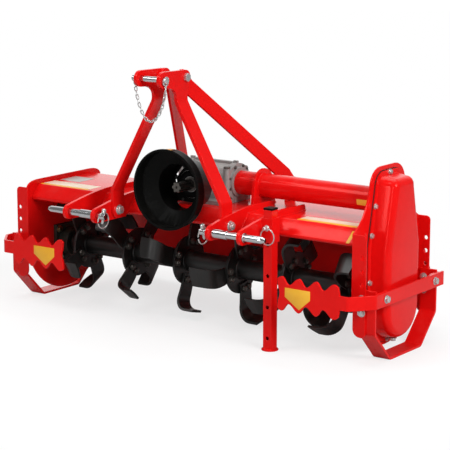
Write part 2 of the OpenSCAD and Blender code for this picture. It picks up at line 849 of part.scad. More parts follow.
module leg_cap() {
    height = 7;
    color("black") translate([leg_x, leg_y, leg_top]) block(leg_w + 2, height);
}

// Skids and guards
module skid_right() {
    path = bent([[skid_front, skid_top_z], [skid_front, skid_rise], [rotor_y - skid_flat / 2, 0],
        [rotor_y + skid_flat / 2, 0], [skid_rear, skid_rise], [skid_rear, skid_top_z]], 20, 4);
    color("red") difference() {
        along_x(half_w + skid_out, skid_w) polygon(strip(path, skid_t));
        skid_holes(2);
    }
}

module skid_left() {
    left_hand() skid_right();
}

// Share of a tooth's length on its steep side, which looks to the right on both plates
tooth_fall = 0.4;

// Toothed plate: round teeth above and below, each steep on one side, and a hollow inner end
module toothed_plate(inner, fall) {
    teeth = 4;
    tip = 20;
    pitch = (wave_len - 2 * tip) / (teeth - 1);
    n = 60;
    hollow = 12;
    function ease(t) = (1 - cos(180 * t)) / 2;
    function dip(t) = t < fall ? ease(t / fall) : ease((1 - t) / (1 - fall));
    function end_round(d) = wave_half - tip + sqrt(max(tip * tip - d * d, 0));
    function tooth(s) = s < tip ? end_round(tip - s) : s > wave_len - tip ? end_round(s - wave_len + tip) :
        wave_half - wave_tooth * dip(((s - tip) / pitch) % 1);
    upper = [for (i = [1:n - 1]) let (s = wave_len * i / n) [inner + s, guard_z + tooth(s)]];
    lower = [for (i = [n - 1:-1:1]) let (s = wave_len * i / n) [inner + s, guard_z - tooth(s)]];
    end = [for (i = [1:5]) let (t = i / 3 - 1)
        [inner + hollow * (1 - t * t), guard_z + t * (wave_half - wave_tooth)]];
    root = inner + wave_len + join;
    neck = [[root, guard_z + guard_h / 2], [root, guard_z - guard_h / 2]];
    along_y(guard_y, guard_t) polygon(concat(upper, neck, lower, end));
}

module guard(inner, fall) {
    bend_r = 16;
    path = bent([[guard_x, guard_rear_y], [guard_x, front_y - guard_lead],
        [guard_x - guard_corner, guard_y], [inner + wave_len, guard_y]], bend_r, 5);
    color("red") difference() {
        union() {
            translate([0, 0, guard_z - guard_h / 2]) linear_extrude(guard_h) polygon(strip(path, -guard_t));
            toothed_plate(inner, fall);
        }
        tab_holes();
    }
}

tab_len = 58;
tab_bolt_in = 40;

module tab_holes() {
    for (y = [skid_front + tab_bolt_in, skid_rear - tab_bolt_in])
        bar_x(half_w + skid_out + skid_w - join, 60, y, guard_z, skid_hole_r);
}

module guard_right() {
    guard(wave_right, tooth_fall);
}

module guard_left() {
    left_hand() guard(wave_left, 1 - tooth_fall);
}

module guard_tabs() {
    start = half_w + skid_out + skid_w;
    reach = guard_x - guard_t - start;
    color("red") for (s = [0, 1])
        mirror([s, 0, 0]) difference() {
            for (y = [skid_front, skid_rear - tab_len])
                translate([start, y, guard_z - guard_h / 2]) cube([reach, tab_len, guard_h]);
            tab_holes();
        }
}

// Rotor
module bearing_right() {
    start = plate_in - bearing_plate;
    half = bearing_side / 2;
    color("darkolivegreen") difference() {
        union() {
            translate([start, rotor_y - half, rotor_z - half])
                cube([bearing_plate, bearing_side, bearing_side]);
            bar_x(plate_in - bearing_len, bearing_len - bearing_plate + join, rotor_y, rotor_z,
                bearing_hub_r);
        }
        bar_x(plate_in - bearing_len - join, bearing_len + 2 * join, rotor_y, rotor_z, stub_r + run_gap);
    }
}

module bearing_left() {
    left_hand() bearing_right();
}

function hub_x(i) = -hub_span + i * hub_pitch;

module rotor_shaft() {
    shoulder = plate_in - bearing_len - 6;
    color("black") {
        bar_x(-shoulder, 2 * shoulder, rotor_y, rotor_z, rotor_r);
        bar_x(-plate_in, 2 * plate_in, rotor_y, rotor_z, stub_r);
        for (i = [0:hubs - 1])
            bar_x(hub_x(i) - hub_t / 2, hub_t, rotor_y, rotor_z, hub_r);
    }
}

// One tine pointing up from the axis and curling to +X: a curled strip cut to a hooked outline
module tine() {
    root = 46;
    sweep = 26;
    lead = 0.55;
    curl = bent([[0, root], [0, tine_sweep - 8], [tine_reach, tine_sweep - 8]], tine_curl, 8);
    back = curve([-tine_w * 0.4, root - join], [-tine_w * 0.55, hub_r + 40],
        [sweep - tine_w / 2, tine_sweep], 6);
    edge = curve([sweep + tine_w / 2, tine_sweep], [tine_w * 0.42, hub_r + 30],
        [tine_w * 0.4, root - join], 6);
    plan = [[-join, -tine_w * 2], [tine_reach * lead, -tine_w * 2], [tine_reach, sweep - 4],
        [tine_reach, tine_w * 2], [-join, tine_w * 2]];
    intersection() {
        along_y(-tine_w * 1.5, tine_w * 3) polygon(strip(curl, -tine_t));
        along_x(-join, tine_reach + 2 * join) polygon(concat(back, edge));
        linear_extrude(tine_sweep + join) polygon(plan);
    }
}

// The tines of one hand: every second place on each flange, set on in steps from flange to flange
module tine_set(hand) {
    step = 360 / tines_per_hub;
    for (i = [0:hubs - 1], k = [0:tines_per_hub / 2 - 1])
        translate([hub_x(i), rotor_y, rotor_z])
            rotate([tine_phase + i * tine_stagger + (2 * k + (hand > 0 ? 0 : 1)) * step, 0, 0])
                mirror([hand > 0 ? 0 : 1, 0, 0]) translate([hub_t / 2, 0, 0]) tine();
}

module tines_right() {
    color("black") tine_set(1);
}

module tines_left() {
    color("black") tine_set(-1);
}

// Tail flap, hung on the rod at the end of the deck
module tail_flap() {
    lean = 40;
    start = hinge + (knuckle_r - 2) * unit([lean, -90]);
    belly = [flap_end_y - lean * 0.7, (hinge[1] + flap_low_z) / 2];
    belly_r = 260;
    fold = bent([start, belly, [flap_end_y, flap_low_z]], belly_r, 8);
    wide = 2 * flap_half;
    color("red") {
        difference() {
            along_x(-flap_half, wide) polygon(strip(fold, -sheet));
            hinge_notches(0);
            bar_x(-flap_half - join, wide + 2 * join, hinge[0], hinge[1], rod_r + knuckle_wall / 2);
        }
        hinge_knuckles(1, rod_r + run_gap);
    }
}

module flap_rod() {
    color("silver") bar_x(-flap_half - 4, 2 * flap_half + 8, hinge[0], hinge[1], rod_r);
}

deck();
side_plate_left();
side_plate_right();
chain_cover();
cover_gasket();
axle_tube();
tube_support();
gearbox();
input_shaft();
shield_bell();
shield_neck();
shield_base();
mast_left();
mast_right();
mast_bolt();
brace_left();
brace_right();
brace_lugs();
lug_left_outer();
lug_left_inner();
lug_right_inner();
lug_right_outer();
lower_pin_left();
lower_pin_right();
top_pin();
retainer_chain();
leg_socket();
parking_leg();
leg_cap();
skid_left();
skid_right();
guard_left();
guard_right();
guard_tabs();
bearing_left();
bearing_right();
rotor_shaft();
tines_left();
tines_right();
tail_flap();
flap_rod();
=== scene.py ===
"""Dresses the rotary tiller: paint, castings, fasteners, pins, chain, welds and a pale studio.

The frame's axes: +X towards the chain case, -Y towards the tractor, +Z up. The meshes are in metres. The sizes and
spots of the machine's pieces are given in millimetres, and the shaping functions turn them into metres.
"""

import logging
import math
from collections.abc import Iterable, Sequence
from dataclasses import dataclass, field
from enum import Enum

import bmesh
import bpy
from mathutils import Matrix, Quaternion, Vector


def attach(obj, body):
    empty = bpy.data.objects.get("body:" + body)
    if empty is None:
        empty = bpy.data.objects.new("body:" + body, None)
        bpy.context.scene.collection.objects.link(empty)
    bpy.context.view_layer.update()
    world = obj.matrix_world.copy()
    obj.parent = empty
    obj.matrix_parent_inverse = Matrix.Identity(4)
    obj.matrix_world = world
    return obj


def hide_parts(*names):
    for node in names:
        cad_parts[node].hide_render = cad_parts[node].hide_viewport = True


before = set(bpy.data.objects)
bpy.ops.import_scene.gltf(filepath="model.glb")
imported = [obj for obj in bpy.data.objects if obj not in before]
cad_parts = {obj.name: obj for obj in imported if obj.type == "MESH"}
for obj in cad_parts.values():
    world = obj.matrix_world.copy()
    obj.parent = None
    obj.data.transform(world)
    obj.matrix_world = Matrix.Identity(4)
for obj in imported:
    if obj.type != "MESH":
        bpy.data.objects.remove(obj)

LOG = logging.getLogger("tiller")
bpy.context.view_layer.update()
MM = 0.001
MERGE = 1e-6  # metres within which points are one
FLAT_ANGLE = 0.6  # degrees under which the facets of a CAD node are one face
EDGE_ANGLE = 32  # degrees past which an edge of a CAD node is broken
RIM_ANGLE = 30  # degrees past which a rim is rounded
AXIS_Y = 10  # plane of the rotor, the gearbox, the axle tube and the chain case
DRIVE_Z = 476  # height of the power input and the axle tube
ROTOR_Z = 186  # height of the rotor's axis
DECK_Z = 410  # height of the deck's top
BEAD_STEP = 3.2  # length of a step of a bead round a tube
RIPPLE = 2.6  # length of a ripple of a straight bead
PINCH = 0.86  # width of a bead between its ripples

BMesh = bmesh.types.BMesh
Socket = bpy.types.NodeSocket
Thing = bpy.types.Object
Tree = bpy.types.NodeTree
Colour = tuple[float, float, float]
Flat = tuple[float, float]
Spot = tuple[float, float, float]


def mm(*values: float) -> tuple[float, ...]:
    """Gives millimetres in metres."""
    return tuple(v * MM for v in values)


def shift(*spot: float) -> Matrix:
    """Gives the move to a spot in millimetres."""
    return Matrix.Translation(mm(*spot))


def turn_to(way: Sequence[float]) -> Matrix:
    """Gives the turn that lays +Z along a direction."""
    return Vector((0, 0, 1)).rotation_difference(Vector(way)).to_matrix().to_4x4()


def verts_in(geom: Iterable[object]) -> list[bmesh.types.BMVert]:
    """Picks the vertices out of an operator's result."""
    return [g for g in geom if isinstance(g, bmesh.types.BMVert)]


def linear(red: int, green: int, blue: int) -> Colour:
    """Gives the linear colour of an 8-bit display colour."""
    return tuple((c / 255 / 12.92) if c <= 10 else ((c / 255 + 0.055) / 1.055) ** 2.4 for c in (red, green, blue))


def placed(name: str, data: bpy.types.ID) -> Thing:
    """Adds an object with its data to the scene."""
    made = bpy.data.objects.new(name, data)
    bpy.context.scene.collection.objects.link(made)
    return made


def aimed(name: str, data: bpy.types.ID, eye: Spot, target: Spot, roll: float = 0.0) -> Thing:
    """Adds a camera or a lamp that looks at a target.

    Args:
        name: Name of the object.
        data: Its camera or light data.
        eye: Where it stands, in metres.
        target: What it looks at, in metres.
        roll: Its turn about its own axis, in degrees.

    Returns:
        The new object.
    """
    made = placed(name, data)
    made.location = eye
    look = (Vector(target) - Vector(eye)).to_track_quat("-Z", "Y")
    made.rotation_mode = "QUATERNION"
    made.rotation_quaternion = look @ Quaternion((0, 0, 1), math.radians(roll))
    return made


class Body(Enum):
    """Bodies of the frame that a piece can ride on."""

    FRAME = "frame"
    ROTOR = "rotor"
    POWER = "power_shaft"
    FLAP = "flap"
    STAND = "stand"


class Slot(Enum):
    """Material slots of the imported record."""

    RED = "red_paint"
    BLACK = "rotor_black"
    GREY = "cast_grey"
    GREEN = "cast_green"
    ZINC = "zinc"
    STEEL = "shaft_steel"
    PLASTIC = "shield_plastic"
    GASKET = "gasket"


class Grain(Enum):
    """Fine relief of a finish."""

    PEEL = "orange peel of sprayed paint"
    CAST = "sand-cast skin"
    TURNED = "fine tool marks"
    MOULDED = "moulded plastic"


class Way(Enum):
    """Directions that a head, a disc or a plate can face."""

    RIGHT = (1, 0, 0)
    LEFT = (-1, 0, 0)
    FRONT = (0, -1, 0)
    BACK = (0, 1, 0)
    UP = (0, 0, 1)
    DOWN = (0, 0, -1)

    def seat(self, spot: Spot, turn: float = 0.0) -> Matrix:
        """Gives the place of a shape whose local +Z is to face this way.

        Args:
            spot: Where the shape's origin goes.
            turn: Turn about the shape's own axis, in degrees.

        Returns:
            The matrix from the shape's own axes to the frame.
        """
        return shift(*spot) @ turn_to(self.value) @ Matrix.Rotation(math.radians(turn), 4, "Z")


SIDES = ((-1, Way.LEFT, Way.RIGHT), (1, Way.RIGHT, Way.LEFT))  # each side's sign, its way out and its way in


class Graph:
    """A shader node tree that is being wired."""

    def __init__(self, tree: Tree) -> None:
        """Takes hold of a tree and empties it."""
        self.tree = tree
        tree.nodes.clear()

    def add(self, kind: str, inputs: dict | None = None, **settings: object) -> bpy.types.Node:
        """Adds a node and feeds its inputs.

        Args:
            kind: Class name of the node without its ShaderNode prefix.
            inputs: Values or sockets by input name or number; a socket is linked.
            settings: Properties of the node.

        Returns:
            The new node.
        """
        made = self.tree.nodes.new(kind if kind.startswith("NodeGroup") else "ShaderNode" + kind)
        for name, value in settings.items():
            setattr(made, name, value)
        for key, value in (inputs or {}).items():
            if isinstance(value, Socket):
                self.tree.links.new(value, made.inputs[key])
            else:
                made.inputs[key].default_value = value
        return made

    def maths(self, operation: str, *values: object, clamp: bool = False) -> Socket:
        """Adds a Math node and gives its output."""
        return self.add("Math", dict(enumerate(values)), operation=operation, use_clamp=clamp).outputs[0]

    def ramp(self, value: Socket, low: float, high: float) -> Socket:
        """Stretches a value between two marks to the span from 0 to 1."""
        return self.add("MapRange", {0: value, 1: low, 2: high}, interpolation_type="SMOOTHSTEP").outputs[0]

    def mix(self, share: object, first: object, second: object) -> Socket:
        """Mixes two colours and gives the result."""
        return self.add("Mix", {0: share, 6: first, 7: second}, data_type="RGBA").outputs[2]

    def place(self) -> Socket:
        """Gives the Object coordinates."""
        return self.add("TexCoord").outputs["Object"]

    def noise(self, scale: object, detail: float, rough: float = 0.5) -> Socket:
        """Adds noise on the Object coordinates and gives its value."""
        inputs = {"Vector": self.place(), "Scale": scale, "Detail": detail, "Roughness": rough}
        return self.add("TexNoise", inputs).outputs[0]

    def close(self, result: Socket) -> Tree:
        """Wires a group's result to its output and gives the group."""
        self.tree.links.new(result, self.add("NodeGroupOutput").inputs[0])
        return self.tree


class Effects:
    """Shader node groups that the finishes share, each built once."""

    def __init__(self) -> None:
        """Builds every group."""
        self.mottle = self._mottle()
        self.relief = {Grain.PEEL: self._peel(), Grain.CAST: self._cast(), Grain.TURNED: self._turned(),
                       Grain.MOULDED: self._moulded()}
        self.edges = self._edges()
        self.dust = self._dust()

    @staticmethod
    def _group(name: str, inputs: dict[str, object], output: str,
               colour: bool = False) -> tuple[Graph, bpy.types.NodeOutputs]:
        """Starts a group with named sockets.

        Args:
            name: Name of the group.
            inputs: Starting value of each input: a number or a colour.
            output: Name of its one output.
            colour: Whether the output is a colour.

        Returns:
            The group's graph and the sockets that give its inputs.
        """
        tree = bpy.data.node_groups.new(name, "ShaderNodeTree")
        for label, value in inputs.items():
            kind = "NodeSocketFloat" if isinstance(value, float) else "NodeSocketColor"
            tree.interface.new_socket(label, in_out="INPUT", socket_type=kind).default_value = value
        kind = "NodeSocketColor" if colour else "NodeSocketFloat"
        tree.interface.new_socket(output, in_out="OUTPUT", socket_type=kind)
        graph = Graph(tree)
        return graph, graph.add("NodeGroupInput").outputs

    def _mottle(self) -> Tree:
        """Builds the slow colour change of a coat between its full and its thin places."""
        inputs = {"Full": (1, 1, 1, 1), "Thin": (0, 0, 0, 1), "Scale": 6.0, "Amount": 0.5}
        g, given = self._group("mottled_coat", inputs, "Colour", colour=True)
        broad = g.maths("MULTIPLY", g.noise(given["Scale"], 4.0, 0.6), 0.75)
        fine = g.maths("MULTIPLY", g.noise(g.maths("MULTIPLY", given["Scale"], 14.0), 2.0), 0.25)
        share = g.maths("MULTIPLY", g.ramp(g.maths("ADD", broad, fine), 0.38, 0.66), given["Amount"])
        return g.close(g.mix(share, given["Full"], given["Thin"]))

    def _peel(self) -> Tree:
        """Builds the height of sprayed paint: a slow waviness and a fine orange peel."""
        g, given = self._group("sprayed_paint", {"Scale": 260.0}, "Height")
        peel = g.maths("MULTIPLY", g.noise(given["Scale"], 1.0), 0.4)
        slow = g.noise(g.maths("MULTIPLY", given["Scale"], 0.05), 2.0)
        return g.close(g.maths("ADD", peel, slow))

    def _cast(self) -> Tree:
        """Builds the height of a sand-cast skin: grains and a few pits."""
        g, given = self._group("cast_skin", {"Scale": 420.0}, "Height")
        sand = g.noise(given["Scale"], 3.0, 0.7)
        pits = g.add("TexVoronoi", {"Vector": g.place(), "Scale": g.maths("MULTIPLY", given["Scale"], 0.3)})
        return g.close(g.maths("ADD", sand, g.ramp(pits.outputs["Distance"], 0.05, 0.3)))

    def _turned(self) -> Tree:
        """Builds the height of fine tool marks that run round bars laid across the machine."""
        g, given = self._group("tool_marks", {"Scale": 300.0}, "Height")
        place = g.add("Mapping", {"Vector": g.place(), "Scale": (4.0, 1.0, 1.0)}).outputs[0]
        return g.close(g.add("TexNoise", {"Vector": place, "Scale": given["Scale"], "Detail": 2.0}).outputs[0])

    def _moulded(self) -> Tree:
        """Builds the height of a finely pebbled plastic."""
        g, given = self._group("moulded_skin", {"Scale": 700.0}, "Height")
        cells = g.add("TexVoronoi", {"Vector": g.place(), "Scale": given["Scale"]}, feature="SMOOTH_F1")
        return g.close(cells.outputs["Distance"])

    def _edges(self) -> Tree:
        """Builds the mask of rubbed edges: where a rounded normal leaves the true one, in broken patches."""
        g, given = self._group("rubbed_edges", {"Width": 0.0015, "Breaks": 90.0, "Amount": 0.5}, "Mask")
        soft = g.add("Bevel", {"Radius": given["Width"]}, samples=4).outputs[0]
        true = g.add("NewGeometry").outputs["Normal"]
        dot = g.add("VectorMath", {0: soft, 1: true}, operation="DOT_PRODUCT").outputs["Value"]
        patches = g.ramp(g.noise(given["Breaks"], 4.0, 0.7), 0.46, 0.62)
        bent = g.maths("MULTIPLY", g.ramp(dot, 0.985, 0.86), patches)
        return g.close(g.maths("MULTIPLY", bent, given["Amount"], clamp=True))

    def _dust(self) -> Tree:
        """Builds the mask of dust that settles on faces that look up."""
        g, given = self._group("settled_dust", {"Scale": 24.0, "Amount": 0.3}, "Mask")
        up = g.add("SeparateXYZ", {0: g.add("NewGeometry").outputs["Normal"]}).outputs["Z"]
        cloud = g.ramp(g.noise(given["Scale"], 5.0, 0.65), 0.42, 0.75)
        lies = g.maths("MULTIPLY", g.ramp(up, 0.3, 0.95), cloud)
        return g.close(g.maths("MULTIPLY", lies, given["Amount"], clamp=True))


@dataclass(frozen=True)
class Finish:
    """A coat, a casting skin or a bare metal.

    Attributes:
        name: Name of its material.
        slot: Slot of the record that it answers to.
        colour: Colour at full strength, linear.
        thin: Colour of its thin or stained places, linear.
        rough: Roughness.
        grain: Kind of fine relief.
        grain_scale: Scale of that relief.
        grain_depth: Depth of that relief in metres.
        metal: Metallic share.
        shine: Specular level of its skin.
        tint: Colour of what it mirrors face on.
        mottle: How strongly the colour changes.
        mottle_scale: Scale of that change.
        worn: Strength of the rubbed edges.
        worn_colour: Colour under the coat at a rubbed edge, linear.
        worn_metal: Metallic share of a fully rubbed edge.
        dust: Strength of the dust on top.
        dust_colour: Colour of that dust, linear.
    """

    name: str
    slot: Slot
    colour: Colour
    thin: Colour
    rough: float
    grain: Grain
    grain_scale: float
    grain_depth: float
    metal: float = 0.0
    shine: float = 0.5
    tint: Colour = (1.0, 1.0, 1.0)
    mottle: float = 0.5
    mottle_scale: float = 6.0
    worn: float = 0.0
    worn_colour: Colour = linear(120, 116, 110)
    worn_metal: float = 0.9
    dust: float = 0.0
    dust_colour: Colour = linear(196, 186, 172)

    def material(self, effects: Effects) -> bpy.types.Material:
        """Builds the material.

        Args:
            effects: The shared node groups.

        Returns:
            A new material.
        """
        made = bpy.data.materials.new(self.name)
        made.use_nodes = True
        g = Graph(made.node_tree)
        colour = g.add("Group", {"Full": (*self.colour, 1), "Thin": (*self.thin, 1), "Scale": self.mottle_scale,
                                 "Amount": self.mottle}, node_tree=effects.mottle).outputs[0]
        height = g.add("Group", {"Scale": self.grain_scale}, node_tree=effects.relief[self.grain]).outputs[0]
        rough = g.add("MapRange", {0: height, 1: 0.2, 2: 1.0, 3: self.rough * 0.85, 4: self.rough * 1.15}).outputs[0]
        metal = self.metal
        if self.worn:
            edge = g.add("Group", {"Amount": self.worn}, node_tree=effects.edges).outputs[0]
            colour = g.mix(edge, colour, (*self.worn_colour, 1))
            metal = g.add("MapRange", {0: edge, 3: self.metal, 4: self.worn_metal}).outputs[0]
        if self.dust:
            lies = g.add("Group", {"Amount": self.dust}, node_tree=effects.dust).outputs[0]
            colour = g.mix(lies, colour, (*self.dust_colour, 1))
            rough = g.maths("ADD", rough, g.maths("MULTIPLY", lies, 0.5), clamp=True)
        bump = g.add("Bump", {"Strength": 1.0, "Distance": self.grain_depth, "Height": height})
        skin = g.add("BsdfPrincipled", {"Base Color": colour, "Roughness": rough, "Metallic": metal,
                                        "Specular IOR Level": self.shine, "Specular Tint": (*self.tint, 1),
                                        "Normal": bump.outputs[0]})
        g.tree.links.new(skin.outputs[0], g.add("OutputMaterial").inputs[0])
        return made


RED = Finish("gloss_red_paint", Slot.RED, linear(222, 17, 16), linear(208, 11, 12), 0.17, Grain.PEEL, 300.0,
             0.00004, shine=0.5, tint=(1.0, 0.22, 0.2), worn=0.2, worn_colour=linear(150, 40, 34), dust=0.04)
BLACK = Finish("black_rotor_paint", Slot.BLACK, linear(21, 20, 19), linear(30, 28, 26), 0.36, Grain.PEEL, 220.0,
               0.0001, mottle_scale=14.0, worn=0.35, worn_colour=linear(88, 84, 80), dust=0.05)
GREY = Finish("grey_cast_iron", Slot.GREY, linear(158, 156, 154), linear(124, 122, 120), 0.42, Grain.CAST, 380.0,
              0.0003, metal=0.3, mottle_scale=10.0, worn=0.3, worn_colour=linear(196, 194, 190), dust=0.08)
GREEN = Finish("dark_green_casting", Slot.GREEN, linear(34, 37, 29), linear(22, 23, 19), 0.45, Grain.CAST, 380.0,
               0.0002, mottle_scale=12.0, worn=0.3, worn_colour=linear(84, 86, 78))
ZINC = Finish("zinc_plated_steel", Slot.ZINC, linear(206, 208, 207), linear(176, 177, 174), 0.26, Grain.TURNED,
              500.0, 0.00003, metal=0.7, mottle_scale=50.0)
YELLOW_ZINC = Finish("yellow_passivated_zinc", Slot.ZINC, linear(176, 160, 116), linear(140, 132, 116), 0.34,
                     Grain.TURNED, 500.0, 0.00003, metal=1.0, mottle=0.8, mottle_scale=70.0)
STEEL = Finish("bright_pin_steel", Slot.STEEL, linear(206, 208, 210), linear(186, 189, 193), 0.16, Grain.TURNED,
               400.0, 0.000008, metal=1.0, mottle=0.4, mottle_scale=24.0)
OILED = Finish("oiled_shaft_steel", Slot.STEEL, linear(104, 99, 94), linear(66, 62, 58), 0.36, Grain.TURNED,
               400.0, 0.00002, metal=0.7, mottle_scale=30.0)
PLASTIC = Finish("black_shield_plastic", Slot.PLASTIC, linear(10, 10, 9), linear(14, 13, 12), 0.4, Grain.MOULDED,
                 700.0, 0.00004, shine=0.06, mottle_scale=9.0, worn=0.2, worn_colour=linear(40, 40, 40), dust=0.02)
# Lighter copy of the shield plastic: a painted sheen on the outer faces of the shield's neck.
NECK_PAINTED_SHEEN = Finish("neck_plastic_painted_sheen", Slot.PLASTIC, linear(24, 23, 22), linear(30, 29, 28), 0.36, Grain.MOULDED,
               700.0, 0.00004, shine=0.6, mottle_scale=9.0)
GASKET = Finish("black_gasket", Slot.GASKET, linear(20, 19, 18), linear(38, 36, 34), 0.7, Grain.MOULDED, 500.0,
                0.00006, mottle_scale=40.0)
YELLOW = Finish("blank_yellow_film", Slot.RED, linear(238, 178, 40), linear(230, 160, 34), 0.36, Grain.PEEL, 200.0,
                0.00002, mottle_scale=20.0)
CREAM = Finish("blank_cream_film", Slot.RED, linear(232, 214, 190), linear(226, 200, 170), 0.36, Grain.PEEL, 200.0,
               0.00002, mottle_scale=20.0)
SILVER = Finish("blank_silver_film", Slot.ZINC, linear(188, 184, 180), linear(160, 156, 152), 0.4, Grain.PEEL,
                200.0, 0.00002, metal=0.5, mottle_scale=20.0)


class Form:
    """A mesh in the making, shaped by bmesh operators."""

    def __init__(self) -> None:
        """Starts empty."""
        self.bm = bmesh.new()

    def take(self, part: BMesh, seat: Matrix) -> None:
        """Puts a finished part in its place and adds it.

        Args:
            part: The part, in its own axes. It is freed.
            seat: Its place in the frame.
        """
        bmesh.ops.transform(part, matrix=seat, verts=part.verts[:])
        mesh = bpy.data.meshes.new("part")
        part.to_mesh(mesh)
        part.free()
        self.bm.from_mesh(mesh)
        bpy.data.meshes.remove(mesh)

    def stamp(self, other: "Form", seat: Matrix) -> None:
        """Adds a copy of another form in a place."""
        self.take(other.bm.copy(), seat)

    def lathe(self, profile: Sequence[Flat], seat: Matrix, steps: int, closed: bool = False) -> None:
        """Spins a profile of radius and height about local Z.

        Args:
            profile: Points of radius and height.
            seat: Its place in the frame.
            steps: Steps of the full turn.
            closed: Whether the profile is a ring.
        """
        part = bmesh.new()
        line = [part.verts.new(mm(r, 0, h)) for r, h in profile]
        for pair in zip(line, line[1:] + line[:1] if closed else line[1:]):
            part.edges.new(pair)
        bmesh.ops.spin(part, geom=part.verts[:] + part.edges[:], cent=(0, 0, 0), axis=(0, 0, 1),
                       angle=math.tau, steps=steps, use_merge=True)
        bmesh.ops.remove_doubles(part, verts=part.verts[:], dist=MERGE)
        bmesh.ops.recalc_face_normals(part, faces=part.faces[:])
        self.take(part, seat)

    def prism(self, outline: Sequence[Flat], height: float, seat: Matrix, edge: float = 0.0) -> None:
        """Raises a flat outline along local Z and rounds its rims.

        Args:
            outline: Corners of the outline, anticlockwise.
            height: How far it is raised.
            seat: Its place in the frame.
            edge: Width of its rounded rims.
        """
        part = bmesh.new()
        part.faces.new([part.verts.new(mm(x, y, 0)) for x, y in outline])
        self._raise(part, height, seat, edge)

    def disc(self, radius: float, height: float, seat: Matrix, sides: int, edge: float) -> None:
        """Raises a round or many-sided disc along local Z.

        Args:
            radius: Its radius, to the corners.
            height: How far it is raised.
            seat: Its place in the frame.
            sides: Number of sides.
            edge: Width of its rounded rims.
        """
        part = bmesh.new()
        bmesh.ops.create_circle(part, cap_ends=True, segments=sides, radius=radius * MM)
        self._raise(part, height, seat, edge)

    def _raise(self, part: BMesh, height: float, seat: Matrix, edge: float) -> None:
        """Raises a part's one face along Z, closes the body, rounds its rims and adds it."""
        top = bmesh.ops.extrude_face_region(part, geom=part.faces[:], use_keep_orig=True)["geom"]
        bmesh.ops.translate(part, verts=verts_in(top), vec=mm(0, 0, height))
        bmesh.ops.recalc_face_normals(part, faces=part.faces[:])
        if edge:
            rims = [e for e in part.edges if e.calc_face_angle(0.0) > math.radians(RIM_ANGLE)]
            bmesh.ops.bevel(part, geom=rims, offset=edge * MM, offset_type="OFFSET", segments=2, profile=0.5,
                            affect="EDGES", clamp_overlap=True, material=-1)
        self.take(part, seat)


class Wire:
    """A round wire that is fed and bent as on a bending bench, starting at the origin along +Z."""

    def __init__(self, radius: float, sides: int = 8) -> None:
        """Cuts the wire's first end."""
        self.bm = bmesh.new()
        bmesh.ops.create_circle(self.bm, cap_ends=False, segments=sides, radius=radius * MM)
        self.end = self.bm.edges[:]
        self.at = Vector()
        self.heading = Vector((0, 0, 1))

    def feed(self, length: float, thin: float = 1.0) -> "Wire":
        """Feeds a straight run.

        Args:
            length: Length of the run.
            thin: Scale of the wire at its new end.

        Returns:
            The wire itself.
        """
        grown = bmesh.ops.extrude_edge_only(self.bm, edges=self.end)["geom"]
        verts, step = verts_in(grown), self.heading * (length * MM)
        bmesh.ops.translate(self.bm, verts=verts, vec=step)
        self.at = self.at + step
        if thin != 1.0:
            bmesh.ops.scale(self.bm, verts=verts, vec=(thin,) * 3, space=Matrix.Translation(-self.at))
        new = set(verts)
        self.end = [e for e in grown if isinstance(e, bmesh.types.BMEdge) and new.issuperset(e.verts)]
        return self

    def bend(self, side: Spot, radius: float, angle: float, steps: int) -> "Wire":
        """Bends the wire.

        Args:
            side: Direction, square to the wire, that it bends to.
            radius: Radius of the bend.
            angle: Angle of the bend in degrees.
            steps: Steps of the bend.

        Returns:
            The wire itself.
        """
        centre = self.at + Vector(side) * (radius * MM)
        axis = self.heading.cross(Vector(side))
        turn = math.radians(angle)
        spun = bmesh.ops.spin(self.bm, geom=self.end, cent=centre, axis=axis, angle=turn, steps=steps)
        self.end = [e for e in spun["geom_last"] if isinstance(e, bmesh.types.BMEdge)]
        spin = Matrix.Rotation(turn, 3, axis)
        self.at = centre + spin @ (self.at - centre)
        self.heading = spin @ self.heading
        return self

    def finished(self, caps: bool = True) -> BMesh:
        """Merges the wire's seams, closes its ends and gives its mesh."""
        bmesh.ops.remove_doubles(self.bm, verts=self.bm.verts[:], dist=MERGE)
        if caps:
            bmesh.ops.holes_fill(self.bm, edges=[e for e in self.bm.edges if e.is_boundary])
        bmesh.ops.recalc_face_normals(self.bm, faces=self.bm.faces[:])
        return self.bm


